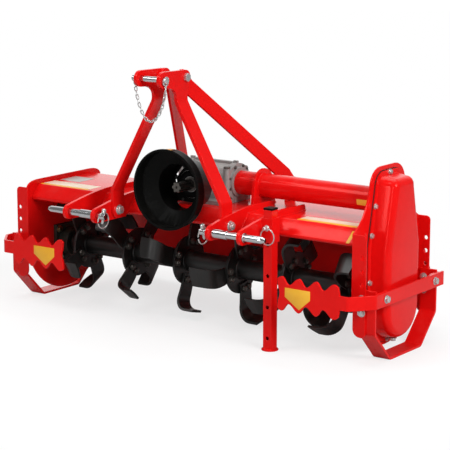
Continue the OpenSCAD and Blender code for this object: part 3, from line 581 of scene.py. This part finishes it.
class Shop:
    """Makes pieces of the scene out of forms: coats them and hangs them on their bodies."""

    def __init__(self) -> None:
        """Starts with no coats mixed."""
        self.effects = Effects()
        self.coats: dict[str, bpy.types.Material] = {}

    def coat(self, finish: Finish) -> bpy.types.Material:
        """Gives a finish's material, built on its first use."""
        if finish.name not in self.coats:
            self.coats[finish.name] = finish.material(self.effects)
        return self.coats[finish.name]

    def piece(self, name: str, form: Form, finish: Finish, body: Body, replaces: Iterable[str] = (),
              sharp: float = 38.0) -> Thing:
        """Makes a form a piece of the scene.

        Args:
            name: Name of the piece.
            form: Its shape, which is used up.
            finish: Its finish.
            body: The body that it rides on.
            replaces: CAD nodes that it stands for.
            sharp: Angle in degrees past which an edge stays sharp.

        Returns:
            The new object.
        """
        mesh = bpy.data.meshes.new(name)
        form.bm.to_mesh(mesh)
        form.bm.free()
        mesh.shade_smooth()
        mesh.set_sharp_from_angle(angle=math.radians(sharp))
        mesh.materials.append(self.coat(finish))
        made = placed(name, mesh)
        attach(made, body.value)
        names = tuple(replaces)
        if names:
            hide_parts(*names)
        LOG.info("%s: %d faces, %s, on %s", name, len(mesh.polygons), finish.name, body.value)
        return made

    def worked(self, node: str, finish: Finish, body: Body, edge: float) -> Thing:
        """Makes a CAD node a finished piece with broken edges.

        Args:
            node: The CAD node that it is copied from and stands for.
            finish: Its finish.
            body: The body that it rides on.
            edge: Width of its broken edges.

        Returns:
            The new object.
        """
        form = Form()
        form.bm.from_mesh(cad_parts[node].data)
        bmesh.ops.remove_doubles(form.bm, verts=form.bm.verts[:], dist=2 * MERGE)
        bmesh.ops.dissolve_limit(form.bm, angle_limit=math.radians(FLAT_ANGLE), verts=form.bm.verts[:],
                                 edges=form.bm.edges[:])
        made = self.piece(node + "_finished", form, finish, body, (node,), sharp=30.0)
        soft = made.modifiers.new("broken_edges", "BEVEL")
        soft.limit_method = "ANGLE"
        soft.angle_limit = math.radians(EDGE_ANGLE)
        soft.width = edge * MM
        soft.segments = 2
        soft.use_clamp_overlap = False
        soft.harden_normals = True
        return made


class BoltKind(Enum):
    """Fasteners by thread size: radius to the corners, height of the head, radius of the washer."""

    M6 = (5.8, 4.2, 7.0)
    M8 = (7.5, 5.5, 9.5)
    M12 = (10.9, 7.6, 13.0)
    M16 = (13.8, 10.0, 16.5)


@dataclass
class Fasteners:
    """A group of hexagon heads that are one piece.

    Attributes:
        name: Name of the piece.
        body: The body that they ride on.
        finish: Their finish.
        washer_t: Thickness of their washers.
        twist: Turn from one head to the next, in degrees.
        form: Their shape so far.
        count: Number of heads so far.
    """

    name: str
    body: Body = Body.FRAME
    finish: Finish = ZINC
    washer_t: float = 1.6
    twist: float = 23.0
    form: Form = field(default_factory=Form)
    count: int = 0

    def bolt(self, kind: BoltKind, spot: Spot, way: Way, washer: bool = True) -> None:
        """Sets a bolt head with a chamfered top.

        Args:
            kind: Its size.
            spot: Where it sits on the work.
            way: Where its head faces.
            washer: Whether a washer lies under it.
        """
        corner, head, disc = kind.value
        rise = self.washer_t if washer else 0.0
        seat = way.seat(spot, turn=self.twist * self.count)
        if washer:
            self.form.disc(disc, rise, seat, sides=20, edge=0.4)
        self.form.disc(corner, head, seat @ shift(0, 0, rise), sides=6, edge=0.7)
        self.form.disc(corner * 0.8, 0.5, seat @ shift(0, 0, rise + head), sides=18, edge=0.3)
        self.count += 1

    def nut(self, kind: BoltKind, spot: Spot, way: Way) -> None:
        """Sets a nut with its washer and the bolt's end in it.

        Args:
            kind: Its size.
            spot: Where it sits on the work.
            way: Where it faces.
        """
        corner, head, _ = kind.value
        self.bolt(kind, spot, way)
        end = way.seat(spot) @ shift(0, 0, self.washer_t + head)
        self.form.disc(corner * 0.5, 3.5, end, sides=16, edge=0.8)

    def done(self, shop: Shop) -> None:
        """Makes the group a piece."""
        shop.piece(self.name, self.form, self.finish, self.body)


@dataclass
class PlateWork:
    """CAD nodes whose shape stays, with the width of their broken edges."""

    edge: float = 1.2
    red: tuple[str, ...] = ("side_plate_left", "side_plate_right", "axle_tube", "tube_support",
                            "mast_left", "mast_right", "brace_left", "brace_right", "brace_lugs",
                            "lug_left_outer", "lug_left_inner", "lug_right_inner", "lug_right_outer",
                            "leg_socket", "skid_left", "skid_right", "guard_left", "guard_right", "guard_tabs")
    others: tuple[tuple[str, Finish, Body, float], ...] = (
        ("deck", RED, Body.FRAME, 0.5), ("tail_flap", RED, Body.FLAP, 1.2), ("parking_leg", RED, Body.STAND, 1.2),
        ("gearbox", GREY, Body.FRAME, 0.5),
        ("bearing_left", GREEN, Body.FRAME, 2.0), ("bearing_right", GREEN, Body.FRAME, 2.0),
        ("rotor_shaft", BLACK, Body.ROTOR, 1.2),
        ("tines_left", BLACK, Body.ROTOR, 1.0), ("tines_right", BLACK, Body.ROTOR, 1.0),
        ("lower_pin_left", STEEL, Body.FRAME, 1.0), ("lower_pin_right", STEEL, Body.FRAME, 1.0),
        ("top_pin", STEEL, Body.FRAME, 1.0), ("mast_bolt", ZINC, Body.FRAME, 0.8),
        ("flap_rod", STEEL, Body.FRAME, 0.8), ("leg_cap", PLASTIC, Body.STAND, 2.0),
        ("input_shaft", OILED, Body.POWER, 0.6))

    def build(self, shop: Shop) -> None:
        """Works every node and coats the gasket, which stays as it is."""
        for node in self.red:
            shop.worked(node, RED, Body.FRAME, self.edge)
        for node, finish, body, edge in self.others:
            shop.worked(node, finish, body, edge)
        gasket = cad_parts["cover_gasket"].data
        gasket.materials.clear()
        gasket.materials.append(shop.coat(GASKET))


@dataclass
class ChainCase:
    """Domed cover of the chain drive, with its flange bolts and drain plug."""

    base: float = 669
    crown: float = 733
    low: float = 28
    top: float = 577
    knee: float = 346
    half: float = 120
    head: float = 82
    corner: float = 48
    foot_steps: int = 28
    corner_steps: int = 9
    trim: float = 2
    flange: float = 4
    flange_in: float = 16
    fillet: float = 3
    fillet_steps: tuple[Flat, ...] = ((2.2, 0.8), (0.8, 2.2))
    draft: float = 5
    round_by: float = 24
    round_steps: int = 8
    bolt_in: float = 9
    bolt_z: tuple[float, ...] = (472, 383, 237)
    foot_bolts: float = 58
    plug_x: float = 26

    def outline(self, inset: float) -> list[Vector]:
        """Gives the cover's outline in Y and Z.

        Args:
            inset: How far it is narrowed all round.

        Returns:
            Points that run from the rear of the round foot under it to the front and over the head.
        """
        foot = Vector((AXIS_Y, self.low + self.half))
        r, f, h = self.corner - inset / 2, self.half - inset, self.head - inset
        points = [foot + f * Vector((math.cos(a), -math.sin(a))) for a in self._fan(0, 180, self.foot_steps)]
        points.append(Vector((AXIS_Y - f, self.knee)))
        for side, start in ((-1, 180), (1, 90)):
            centre = Vector((AXIS_Y + side * (h - r), self.top - inset - r))
            points += [centre + r * Vector((math.cos(a), math.sin(a)))
                       for a in self._fan(start, start - 90, self.corner_steps)]
        points.append(Vector((AXIS_Y + f, self.knee)))
        return points

    @staticmethod
    def _fan(first: float, last: float, count: int) -> list[float]:
        """Gives evenly spread angles in radians."""
        return [math.radians(first + (last - first) * i / count) for i in range(count + 1)]

    def build(self, shop: Shop) -> None:
        """Presses the cover out of its flange and sets its bolts."""
        form = Form()
        sole = form.bm.faces.new([form.bm.verts.new(mm(self.base, *p)) for p in self.outline(self.trim)])
        raised = bmesh.ops.extrude_face_region(form.bm, geom=[sole], use_keep_orig=True)["geom"]
        bmesh.ops.translate(form.bm, verts=verts_in(raised), vec=mm(self.flange, 0, 0))
        top = next(f for f in raised if isinstance(f, bmesh.types.BMFace))
        bmesh.ops.recalc_face_normals(form.bm, faces=form.bm.faces[:])
        wall = self.crown - self.base - self.flange - self.round_by - self.fillet
        turns = self._fan(0, 90, self.round_steps)
        dome = [(self.round_by * (math.cos(a) - math.cos(b)), self.round_by * (math.sin(b) - math.sin(a)))
                for a, b in zip(turns, turns[1:])]
        ledge = (self.flange_in - self.trim - self.fillet, 0.0)
        for inward, outward in (ledge, *self.fillet_steps, (self.draft, wall), *dome):
            bmesh.ops.inset_region(form.bm, faces=[top], thickness=inward * MM, depth=outward * MM,
                                   use_even_offset=True, use_boundary=True)
        shop.piece("chain_case_cover", form, RED, Body.FRAME, ("chain_cover",), sharp=50.0)
        self._bolts(shop)

    def _bolts(self, shop: Shop) -> None:
        """Sets the flange bolts up both sides, over the head and round the foot, and the drain plug under it."""
        wide, narrow = self.half - self.bolt_in, self.head - self.bolt_in
        shoulder = self.top - self.corner - self.bolt_in / 2
        spots = [(0.0, self.top - self.bolt_in)]
        for z in self.bolt_z:
            out = wide + (narrow - wide) * max(z - self.knee, 0.0) / (shoulder - self.knee)
            spots += [(-out, z), (out, z)]
        for a in self._fan(-self.foot_bolts, self.foot_bolts, 2):
            spots.append((wide * math.sin(a), self.low + self.half - wide * math.cos(a)))
        bolts, plug = Fasteners("cover_bolts"), Fasteners("drain_plug")
        for aside, z in spots:
            bolts.bolt(BoltKind.M8, (self.base + self.flange, AXIS_Y + aside, z), Way.RIGHT)
        plug.bolt(BoltKind.M12, (self.base + self.plug_x, AXIS_Y, self.low + self.flange_in), Way.DOWN)
        bolts.done(shop)
        plug.done(shop)


@dataclass
class InputShield:
    """Two-step shield round the power input, the shaft's seal and the bolts of its base."""

    edge: float = 0.8
    front_facing: float = -0.3
    neck_front: float = -120
    seal: tuple[Flat, ...] = ((26, 0), (45, 0), (45, 1.5), (43, 3), (30, 3), (26, 1))
    disc_front: float = -118
    bolt_r: float = 62
    bolt_turns: tuple[int, ...] = (-150, -75, -25, 25, 75, 150)

    def build(self, shop: Shop) -> None:
        """Finishes the shield, seals the shaft and bolts the base to the gearbox."""
        for node in ("shield_bell", "shield_base"):
            shop.worked(node, PLASTIC, Body.FRAME, self.edge)
        self._neck(shop)
        seal = Form()
        seal.lathe(self.seal, Way.FRONT.seat((0, self.neck_front, DRIVE_Z)), steps=48, closed=True)
        shop.piece("input_seal", seal, PLASTIC, Body.FRAME)
        bolts = Fasteners("shield_bolts", finish=BLACK)
        for a in map(math.radians, self.bolt_turns):
            spot = (self.bolt_r * math.sin(a), self.disc_front, DRIVE_Z + self.bolt_r * math.cos(a))
            bolts.bolt(BoltKind.M6, spot, Way.FRONT, washer=False)
        bolts.done(shop)

    def _neck(self, shop: Shop) -> None:
        """Finishes the neck with a painted sheen: the faces that look outward take a lighter, shinier copy of the
        black plastic, and the faces that look inwards or to the front keep the plain dark plastic.
        """
        neck = shop.worked("shield_neck", NECK_PAINTED_SHEEN, Body.FRAME, self.edge).data
        neck.materials.append(shop.coat(PLASTIC))
        for face in neck.polygons:
            outward = Vector((face.center.x, 0, face.center.z - DRIVE_Z * MM))
            # Index 0 is the lighter painted-sheen copy, index 1 the plain dark plastic.
            face.material_index = int(face.normal.dot(outward) < 0 or face.normal.y < self.front_facing)


@dataclass
class Gearbox:
    """Bolts and plugs of the gearbox casting."""

    boss_x: float = 92
    bosses: tuple[Flat, ...] = ((-46, 526), (-4, 498), (56, 510))
    half: float = 100
    rim_r: float = 55.5
    rim_turns: tuple[int, ...] = (-72, -24, 24, 72, 108, 252)
    filler: Spot = (-39, AXIS_Y, 546)
    rear_plug: Spot = (0, 76, DRIVE_Z)

    def build(self, shop: Shop) -> None:
        """Sets the boss bolts, the flange bolts and the plugs."""
        tops = Fasteners("gearbox_foot_bolts", finish=OILED)
        rims = Fasteners("gearbox_flange_bolts", finish=OILED)
        plugs = Fasteners("gearbox_plugs", finish=YELLOW_ZINC)
        for side, out, _ in SIDES:
            for y, z in self.bosses:
                tops.bolt(BoltKind.M12, (side * self.boss_x, y, z), Way.UP, washer=False)
            for a in map(math.radians, self.rim_turns):
                spot = (side * self.half, AXIS_Y - self.rim_r * math.sin(a), DRIVE_Z + self.rim_r * math.cos(a))
                rims.bolt(BoltKind.M6, spot, out, washer=False)
        plugs.bolt(BoltKind.M16, self.filler, Way.UP)
        plugs.bolt(BoltKind.M12, self.rear_plug, Way.BACK)
        for group in (tops, rims, plugs):
            group.done(shop)


@dataclass
class HitchPins:
    """Linch pins of the lower pins, ring and cap of the top pin, and the bolts of mast and braces."""

    low_y: float = -322
    low_z: float = 377
    low_r: float = 11
    linch_x: float = 203
    lean: float = 12
    peg: float = 4.6
    peg_out: float = 14
    hoop_out: float = 15
    hoop_drop: float = 13
    hoop_wire: float = 2.1
    top_y: float = -320
    top_z: float = 837
    top_r: float = 9.5
    eye: float = 13
    eye_x: float = 57
    eye_drop: float = 3.5
    eye_wire: float = 2.2
    cap_x: float = 61
    mast_foot: Flat = (-228, 384)
    mast_x: Flat = (214, 238)
    brace_foot: Flat = (150, 462)
    brace_x: Flat = (206, 226)

    def _linch(self, form: Form, side: int) -> None:
        """Adds one side's linch pin: a peg through the bar and a spring ring that clasps round the bar."""
        x, r, peg = side * self.linch_x, self.low_r, self.peg
        up, hoop = r + self.peg_out, r + self.hoop_out
        seat = shift(x, self.low_y, self.low_z) @ Matrix.Rotation(math.radians(side * self.lean), 4, "X")
        form.lathe([(0, -up), (peg * 0.7, -up), (peg, 3 - up), (peg, r + 1), (peg * 1.6, r + 1.5),
                    (peg * 1.6, up - 2), (peg * 1.1, up), (0, up)], seat, steps=18)
        ring = Wire(self.hoop_wire).bend((0, 1, 0), hoop, 345, steps=34)
        form.take(ring.finished(), shift(x, self.low_y - hoop, self.low_z - self.hoop_drop))

    def build(self, shop: Shop) -> None:
        """Sets the pins and the bolts."""
        pins = Form()
        for side, *_ in SIDES:
            self._linch(pins, side)
        ring = Wire(self.eye_wire).bend((0, 1, 0), self.eye, 350, steps=34)
        pins.take(ring.finished(), shift(self.eye_x, self.top_y - self.eye, self.top_z - self.eye_drop))
        rim = self.top_r + 2
        pins.lathe([(rim, -0.5), (rim, 0.6), (self.top_r, 1.8), (5, 2.8), (0, 3)],
                   Way.RIGHT.seat((self.cap_x, self.top_y, self.top_z)), steps=32)
        shop.piece("linch_pins", pins, ZINC, Body.FRAME)
        mast, brace = Fasteners("mast_foot_bolts"), Fasteners("brace_foot_bolts")
        for side, out, inward in SIDES:
            mast.bolt(BoltKind.M16, (side * self.mast_x[0], *self.mast_foot), inward)
            mast.nut(BoltKind.M16, (side * self.mast_x[1], *self.mast_foot), out)
            brace.bolt(BoltKind.M16, (side * self.brace_x[1], *self.brace_foot), out)
            brace.nut(BoltKind.M16, (side * self.brace_x[0], *self.brace_foot), inward)
        mast.done(shop)
        brace.done(shop)


@dataclass
class RetainerChain:
    """Slack chain of oval links between the two ends of the top pin."""

    wire: float = 1.6
    width: float = 10.6
    pitch: float = 13
    smooth: int = 24
    path_step: float = 2
    route: tuple[Spot, ...] = ((57, -320, 824), (57, -321, 808), (55, -322, 792), (52, -323, 775), (47, -324, 757),
                               (41, -325, 741), (32, -326, 726), (20, -326, 713), (5, -326, 705), (-10, -326, 706),
                               (-23, -326, 716), (-34, -325, 731), (-44, -324, 749), (-52, -323, 768),
                               (-58, -322, 788), (-63, -321, 808), (-66, -320, 827))

    def line(self, step: float) -> list[Vector]:
        """Gives points in metres along the route, a step apart on a smooth curve."""
        knots = [Vector(p) * MM for p in self.route]
        ends = [knots[0] * 2 - knots[1], *knots, knots[-1] * 2 - knots[-2]]
        fine = []
        for a, b, c, d in zip(ends, ends[1:], ends[2:], ends[3:]):
            for i in range(self.smooth):
                t = i / self.smooth
                fine.append(0.5 * (2 * b + (c - a) * t + (2 * a - 5 * b + 4 * c - d) * t * t
                                   + (3 * b - a - 3 * c + d) * t ** 3))
        fine.append(knots[-1])
        kept, left, step = [fine[0]], 0.0, step * MM
        for a, b in zip(fine, fine[1:]):
            span = (b - a).length
            while left + span >= step:
                a = a.lerp(b, (step - left) / span)
                kept.append(a.copy())
                span = (b - a).length
                left = 0.0
            left += span
        kept.append(fine[-1])
        return kept

    def link(self) -> Form:
        """Bends one oval link that lies along Z, its flat square to Y."""
        bow = self.width / 2 - self.wire
        run = self.pitch - 2 * bow + 2 * self.wire
        oval = Wire(self.wire, sides=6)
        for side in (1, -1):
            oval.feed(run).bend((side, 0, 0), bow, 180, steps=5)
        form = Form()
        form.take(oval.finished(caps=False), shift(-bow, 0, -run / 2))
        return form

    def build(self, shop: Shop) -> None:
        path = self.line(self.pitch)
        link, form = self.link(), Form()
        for i, (a, b) in enumerate(zip(path, path[1:])):
            twist = Matrix.Rotation(math.radians(45 + 90 * (i % 2)), 4, "Z")
            form.stamp(link, Matrix.Translation((a + b) / 2) @ turn_to((b - a).normalized()) @ twist)
        link.bm.free()
        made = shop.piece("retainer_chain_links", form, ZINC, Body.FRAME, ("retainer_chain",), sharp=60.0)
        fine = self.line(self.path_step)
        length = sum((b - a).length for a, b in zip(fine, fine[1:]))
        tuple(fine[0])
        [tuple(p) for p in fine]


@dataclass
class ParkingStand:
    """Locking pin of the parking leg's socket and its wire ring."""

    x: float = 377.5
    face: float = -227.5
    z: float = 393.8
    pin: tuple[Flat, ...] = ((0, -3.8), (5.6, -3.8), (5.6, 0), (10, 0), (10, 2.5), (6, 3.5), (6, 16), (4.5, 18),
                             (0, 18))
    wire: float = 2
    hoop: float = 25
    hang: Flat = (10, -12)

    def build(self, shop: Shop) -> None:
        """Sets the pin's head in the socket's front wall and hangs its ring."""
        form = Form()
        form.lathe(self.pin, Way.FRONT.seat((self.x, self.face, self.z)), steps=24)
        ring = Wire(self.wire).bend((1, 0, 0), self.hoop, 345, steps=32)
        aside, ahead = self.hang
        form.take(ring.finished(), shift(self.x - self.hoop + aside, self.face + ahead, self.z - self.hoop))
        shop.piece("stand_pin", form, ZINC, Body.FRAME)


@dataclass
class SideFixings:
    """Bolts of the skids, the guards and the bearings."""

    skid_x: float = 698
    skid_z: Flat = (164, 206)
    front: float = -185
    rear: float = 205
    grip: float = 14
    guard_x: float = 758
    guard_y: Flat = (-139, 159)
    guard_z: float = 206
    plate_in: float = 661
    plate_out: float = 667
    square: Flat = (-50, 50)

    def build(self, shop: Shop) -> None:
        """Sets the bolts on both sides."""
        skids, guards = Fasteners("skid_bolts"), Fasteners("guard_bolts")
        inside = Fasteners("bearing_bolts", finish=YELLOW_ZINC)
        for side, out, inward in SIDES:
            x = side * self.skid_x
            for z in self.skid_z:
                skids.bolt(BoltKind.M12, (x, self.front, z), Way.FRONT)
                skids.bolt(BoltKind.M12, (x, self.rear, z), Way.BACK)
                skids.nut(BoltKind.M12, (x, self.front + self.grip, z), Way.BACK)
                skids.nut(BoltKind.M12, (x, self.rear - self.grip, z), Way.FRONT)
            for y in self.guard_y:
                guards.bolt(BoltKind.M12, (side * self.guard_x, y, self.guard_z), out)
            for spot in ((AXIS_Y + y, ROTOR_Z + z) for y in self.square for z in self.square):
                inside.bolt(BoltKind.M12, (side * (self.plate_in - self.grip), *spot), inward)
                if side < 0:
                    inside.nut(BoltKind.M12, (side * self.plate_out, *spot), out)
        for group in (skids, guards, inside):
            group.done(shop)


@dataclass
class RotorFixings:
    """Bolts of the tines and the welds of their flanges."""

    span: float = 547
    hubs: int = 6
    hub_t: float = 10
    tine_t: float = 8
    phase: float = 118
    stagger: float = 24
    tube_r: float = 34
    weld: float = 4
    bolt_r: float = 66
    bolt_aside: float = 13

    def build(self, shop: Shop) -> None:
        """Sets two bolts in each tine and a weld on each side of each flange."""
        bolts = Fasteners("tine_bolts", body=Body.ROTOR, finish=OILED)
        welds = Form()
        for i in range(self.hubs):
            x = -self.span + i * 2 * self.span / (self.hubs - 1)
            for hand, way, back in reversed(SIDES):
                face = hand * self.hub_t / 2
                Welds.ring(welds, way.seat((x + face, AXIS_Y, ROTOR_Z)), self.tube_r, self.weld)
                first = self.phase + i * self.stagger + (0 if hand > 0 else 90)
                for a in (math.radians(first), math.radians(first + 180)):
                    for aside in (-self.bolt_aside, self.bolt_aside):
                        y = AXIS_Y - self.bolt_r * math.sin(a) + aside * math.cos(a)
                        z = ROTOR_Z + self.bolt_r * math.cos(a) + aside * math.sin(a)
                        bolts.bolt(BoltKind.M12, (x + face + hand * self.tine_t, y, z), way, washer=False)
                        bolts.nut(BoltKind.M12, (x - face, y, z), back)
        bolts.done(shop)
        shop.piece("rotor_welds", welds, BLACK, Body.ROTOR, sharp=80.0)


@dataclass
class Welds:
    """Painted weld beads on the frame."""

    size: float = 3.2
    lug_x: Flat = (232, 351)
    lug_half: float = 6
    lug_run: tuple[Flat, ...] = ((-172, 361), (-130, DECK_Z), (18, DECK_Z))
    tube_r: float = 39
    support_x: float = 197
    support_half: float = 5
    support_y: Flat = (-54, 74)
    plate_x: float = 661
    socket_x: float = 357
    socket_y: Flat = (-227.5, -186.5)
    socket_z: Flat = (356, 406)

    @staticmethod
    def ring(form: Form, seat: Matrix, radius: float, size: float) -> None:
        """Lays a bead round a tube.

        Args:
            form: Where it is added.
            seat: Place of the ring, its axis along local Z.
            radius: Radius of the tube.
            size: Radius of the bead.
        """
        steps = max(24, int(math.tau * radius / BEAD_STEP))
        bead = Wire(size).bend((1, 0, 0), radius, 360, steps)
        form.take(bead.finished(caps=False), seat @ Matrix.Rotation(math.radians(90), 4, "X") @ shift(-radius, 0, 0))

    def run(self, form: Form, points: Sequence[Spot]) -> None:
        """Lays rippled straight beads from point to point.

        Args:
            form: Where they are added.
            points: Corners of the run.
        """
        for a, b in zip(points, points[1:]):
            way = Vector(b) - Vector(a)
            bead = Wire(self.size)
            steps = max(4, int(way.length / RIPPLE))
            for i in range(steps):
                bead.feed(way.length / steps, thin=PINCH if i % 2 else 1 / PINCH)
            form.take(bead.finished(), shift(*a) @ turn_to(way.normalized()))

    def build(self, shop: Shop) -> None:
        """Lays the beads of the lugs, the tube, its support and the leg's socket."""
        form = Form()
        for side, *_ in SIDES:
            for x in self.lug_x:
                for edge in (-self.lug_half, self.lug_half):
                    self.run(form, [(side * (x + edge), *p) for p in self.lug_run])
        for side, out, _ in SIDES:
            x = self.support_x + side * self.support_half
            self.run(form, [(x, y, DECK_Z) for y in self.support_y])
            self.ring(form, out.seat((x, AXIS_Y, DRIVE_Z)), self.tube_r, self.size)
        self.ring(form, Way.LEFT.seat((self.plate_x, AXIS_Y, DRIVE_Z)), self.tube_r, self.size)
        for y in self.socket_y:
            self.run(form, [(self.socket_x, y, z) for z in self.socket_z])
        shop.piece("frame_welds", form, RED, Body.FRAME, sharp=80.0)


@dataclass
class BlankLabels:
    """Blank films on deck, tube, shield and guards, in the places of the real ones."""

    thick: float = 0.4
    edge: float = 0.1
    yellow_strips: tuple[tuple[int, ...], ...] = ((420, 640, -126, -106), (-655, -440, -126, -110))
    cream_strips: tuple[tuple[int, ...], ...] = ((420, 640, -105, -66), (-655, -440, -109, -50))
    silver_strips: tuple[tuple[int, ...], ...] = ((-652, -563, -25, 60),)
    guard_x: Flat = (520, -514)
    guard_face: float = -268
    guard_z: float = 206
    guard_film: tuple[Flat, ...] = ((-46, 21), (-46, -8), (6, -43), (46, -8), (46, 21))
    fold: Flat = (-130, DECK_Z)
    lip: Flat = (-176, 357)
    slope_film: tuple[Flat, ...] = ((627, -56), (639, -56), (645, -12), (633, -12))
    tube_r: float = 39
    tube_x: Flat = (578, 618)
    tube_turns: Flat = (-2, 25)
    shield_radii: Flat = (128.1, 128.6)
    shield_turns: Flat = (-20, 4)
    shield_front: float = -218
    shield_film: float = 26

    @staticmethod
    def front(x: float, y: float, z: float) -> Matrix:
        """Gives the place of an upright film that faces the tractor, its local Y up."""
        return shift(x, y, z) @ Matrix.Rotation(math.radians(90), 4, "X")

    def _slope(self, form: Form) -> None:
        """Adds the film on the deck's slanted front panel."""
        lean = math.atan2(self.fold[1] - self.lip[1], self.fold[0] - self.lip[0])
        form.prism(self.slope_film, self.thick, shift(0, *self.fold) @ Matrix.Rotation(lean, 4, "X"), self.edge)

    def _wrap(self, form: Form) -> None:
        """Adds the film that lies round the axle tube's front."""
        part = bmesh.new()
        (x0, x1), (first, last) = self.tube_x, map(math.radians, self.tube_turns)
        low, high = self.tube_r, self.tube_r + self.thick
        end = part.faces.new([part.verts.new(mm(x, -r, 0)) for x, r in ((x0, low), (x1, low), (x1, high), (x0, high))])
        bmesh.ops.rotate(part, verts=part.verts[:], cent=(0, 0, 0), matrix=Matrix.Rotation(first, 3, "X"))
        bmesh.ops.spin(part, geom=[end, *end.edges, *end.verts], cent=(0, 0, 0), axis=(1, 0, 0),
                       angle=last - first, steps=6)
        bmesh.ops.remove_doubles(part, verts=part.verts[:], dist=MERGE)
        bmesh.ops.recalc_face_normals(part, faces=part.faces[:])
        form.take(part, shift(0, AXIS_Y, DRIVE_Z))

    def _shield(self, form: Form) -> None:
        """Adds the film on top of the shield's band."""
        first, last = self.shield_turns
        turns = [math.radians(first + (last - first) * i / 8) for i in range(9)]
        inner, outer = self.shield_radii
        arc = [(r * math.sin(a), r * math.cos(a)) for r, row in ((inner, turns), (outer, turns[::-1])) for a in row]
        form.prism(arc, self.shield_film, self.front(0, self.shield_front, DRIVE_Z))

    def build(self, shop: Shop) -> None:
        """Lays every film."""
        yellow, cream, silver = Form(), Form(), Form()
        for form, strips in ((yellow, self.yellow_strips), (cream, self.cream_strips), (silver, self.silver_strips)):
            for x0, x1, y0, y1 in strips:
                corners = [(x0, y0), (x1, y0), (x1, y1), (x0, y1)]
                form.prism(corners, self.thick, shift(0, 0, DECK_Z), self.edge)
        for x in self.guard_x:
            yellow.prism(self.guard_film, self.thick, self.front(x, self.guard_face, self.guard_z), self.edge)
        self._slope(yellow)
        self._shield(yellow)
        self._wrap(yellow)
        shop.piece("blank_yellow_films", yellow, YELLOW, Body.FRAME)
        shop.piece("blank_cream_films", cream, CREAM, Body.FRAME)
        shop.piece("blank_silver_film", silver, SILVER, Body.FRAME)


@dataclass
class Studio:
    """Pale floor, soft light and the camera; all in metres and watts."""

    eye: Spot = (3.3023, -4.446, 1.4484)
    aim: Spot = (0.0332, 0.0245, 0.3208)
    roll: float = 0.046
    lens: float = 135.71
    floor_r: float = 14.0
    floor_seen: float = 0.9
    floor_bounce: float = 0.5
    floor_glow: float = 0.7
    floor_fade: Flat = (0.5, 1.5)
    backdrop: Spot = (-0.58, 0.79, 0.2)
    wall_light: float = 0.9
    wall_fade: Flat = (0.55, 0.95)
    room_light: float = 0.2
    lamp_aim: Spot = (0, 0, 0.35)
    lamps: tuple[tuple[str, Spot, Flat, float], ...] = (("key", (4.4, -1.5, 2.6), (2.0, 2.0), 190.0),
                                                        ("fill", (-1.8, -2.8, 3.9), (2.4, 2.0), 82.0),
                                                        ("strip", (2.3, -4.7, 1.0), (0.25, 1.6), 18.0),
                                                        ("edge", (-0.3, -3.9, 1.1), (0.3, 1.4), 14.0),
                                                        ("top", (0.2, 0.6, 4.2), (2.8, 2.8), 74.0))

    def camera(self) -> None:
        """Sets the camera at the photograph's angle."""
        lens = bpy.data.cameras.new("camera")
        lens.lens = self.lens
        lens.sensor_width = 36.0
        lens.clip_end = 100.0
        bpy.context.scene.camera = aimed("camera", lens, self.eye, self.aim, self.roll)

    def floor(self) -> None:
        """Lays a pale round floor that is white to the camera far from the machine."""
        bm = bmesh.new()
        bmesh.ops.create_circle(bm, cap_ends=True, segments=96, radius=self.floor_r)
        mesh = bpy.data.meshes.new("studio_floor")
        bm.to_mesh(mesh)
        bm.free()
        made = placed("studio_floor", mesh)
        coat = bpy.data.materials.new("pale_floor")
        coat.use_nodes = True
        g = Graph(coat.node_tree)
        seen = g.add("LightPath").outputs["Is Camera Ray"]
        dim, pale = ((grey, grey, grey, 1) for grey in (self.floor_bounce, self.floor_seen))
        matt = g.add("BsdfDiffuse", {"Color": g.mix(seen, dim, pale)})
        white = g.add("Emission", {"Color": (1, 1, 1, 1), "Strength": 1.0})
        away = g.add("VectorMath", {0: g.place()}, operation="LENGTH").outputs["Value"]
        share = g.maths("MULTIPLY", g.maths("MAXIMUM", g.ramp(away, *self.floor_fade), self.floor_glow), seen)
        both = g.add("MixShader", {0: share, 1: matt.outputs[0], 2: white.outputs[0]})
        g.tree.links.new(both.outputs[0], g.add("OutputMaterial").inputs[0])
        mesh.materials.append(coat)

    def light(self) -> None:
        """Hangs soft lamps and lights the white room."""
        world = bpy.data.worlds.new("white_room")
        bpy.context.scene.world = world
        world.use_nodes = True
        g = Graph(world.node_tree)
        seen = g.add("LightPath").outputs["Is Camera Ray"]
        toward = g.add("VectorMath", {0: g.add("TexCoord").outputs["Generated"], 1: self.backdrop},
                       operation="DOT_PRODUCT").outputs["Value"]
        wall = g.maths("MULTIPLY", g.ramp(toward, *self.wall_fade), self.wall_light)
        strength = g.maths("MAXIMUM", g.maths("ADD", wall, self.room_light), seen)
        sky = g.add("Background", {"Color": (1, 1, 1, 1), "Strength": strength})
        g.tree.links.new(sky.outputs[0], g.add("OutputWorld").inputs[0])
        for name, spot, (wide, tall), power in self.lamps:
            lamp = bpy.data.lights.new(name, "AREA")
            lamp.shape = "RECTANGLE"
            lamp.size, lamp.size_y = wide, tall
            lamp.energy = power
            aimed(name, lamp, spot, self.lamp_aim)

    def build(self) -> None:
        """Sets up camera, floor and light."""
        self.camera()
        self.floor()
        self.light()
        bpy.context.scene.view_settings.view_transform = "Standard"


def main() -> None:
    """Builds the scene in order."""
    logging.basicConfig(level=logging.INFO, format="%(name)s: %(message)s")
    Studio().build()
    shop = Shop()
    RetainerChain().build(shop)
    for part in (PlateWork(), ChainCase(), InputShield(), Gearbox(), HitchPins(), ParkingStand(), SideFixings(),
                 RotorFixings(), Welds(), BlankLabels()):
        part.build(shop)
        LOG.info("%s is done", type(part).__name__)
    bpy.context.view_layer.update()


if __name__ == "__main__":
    main()
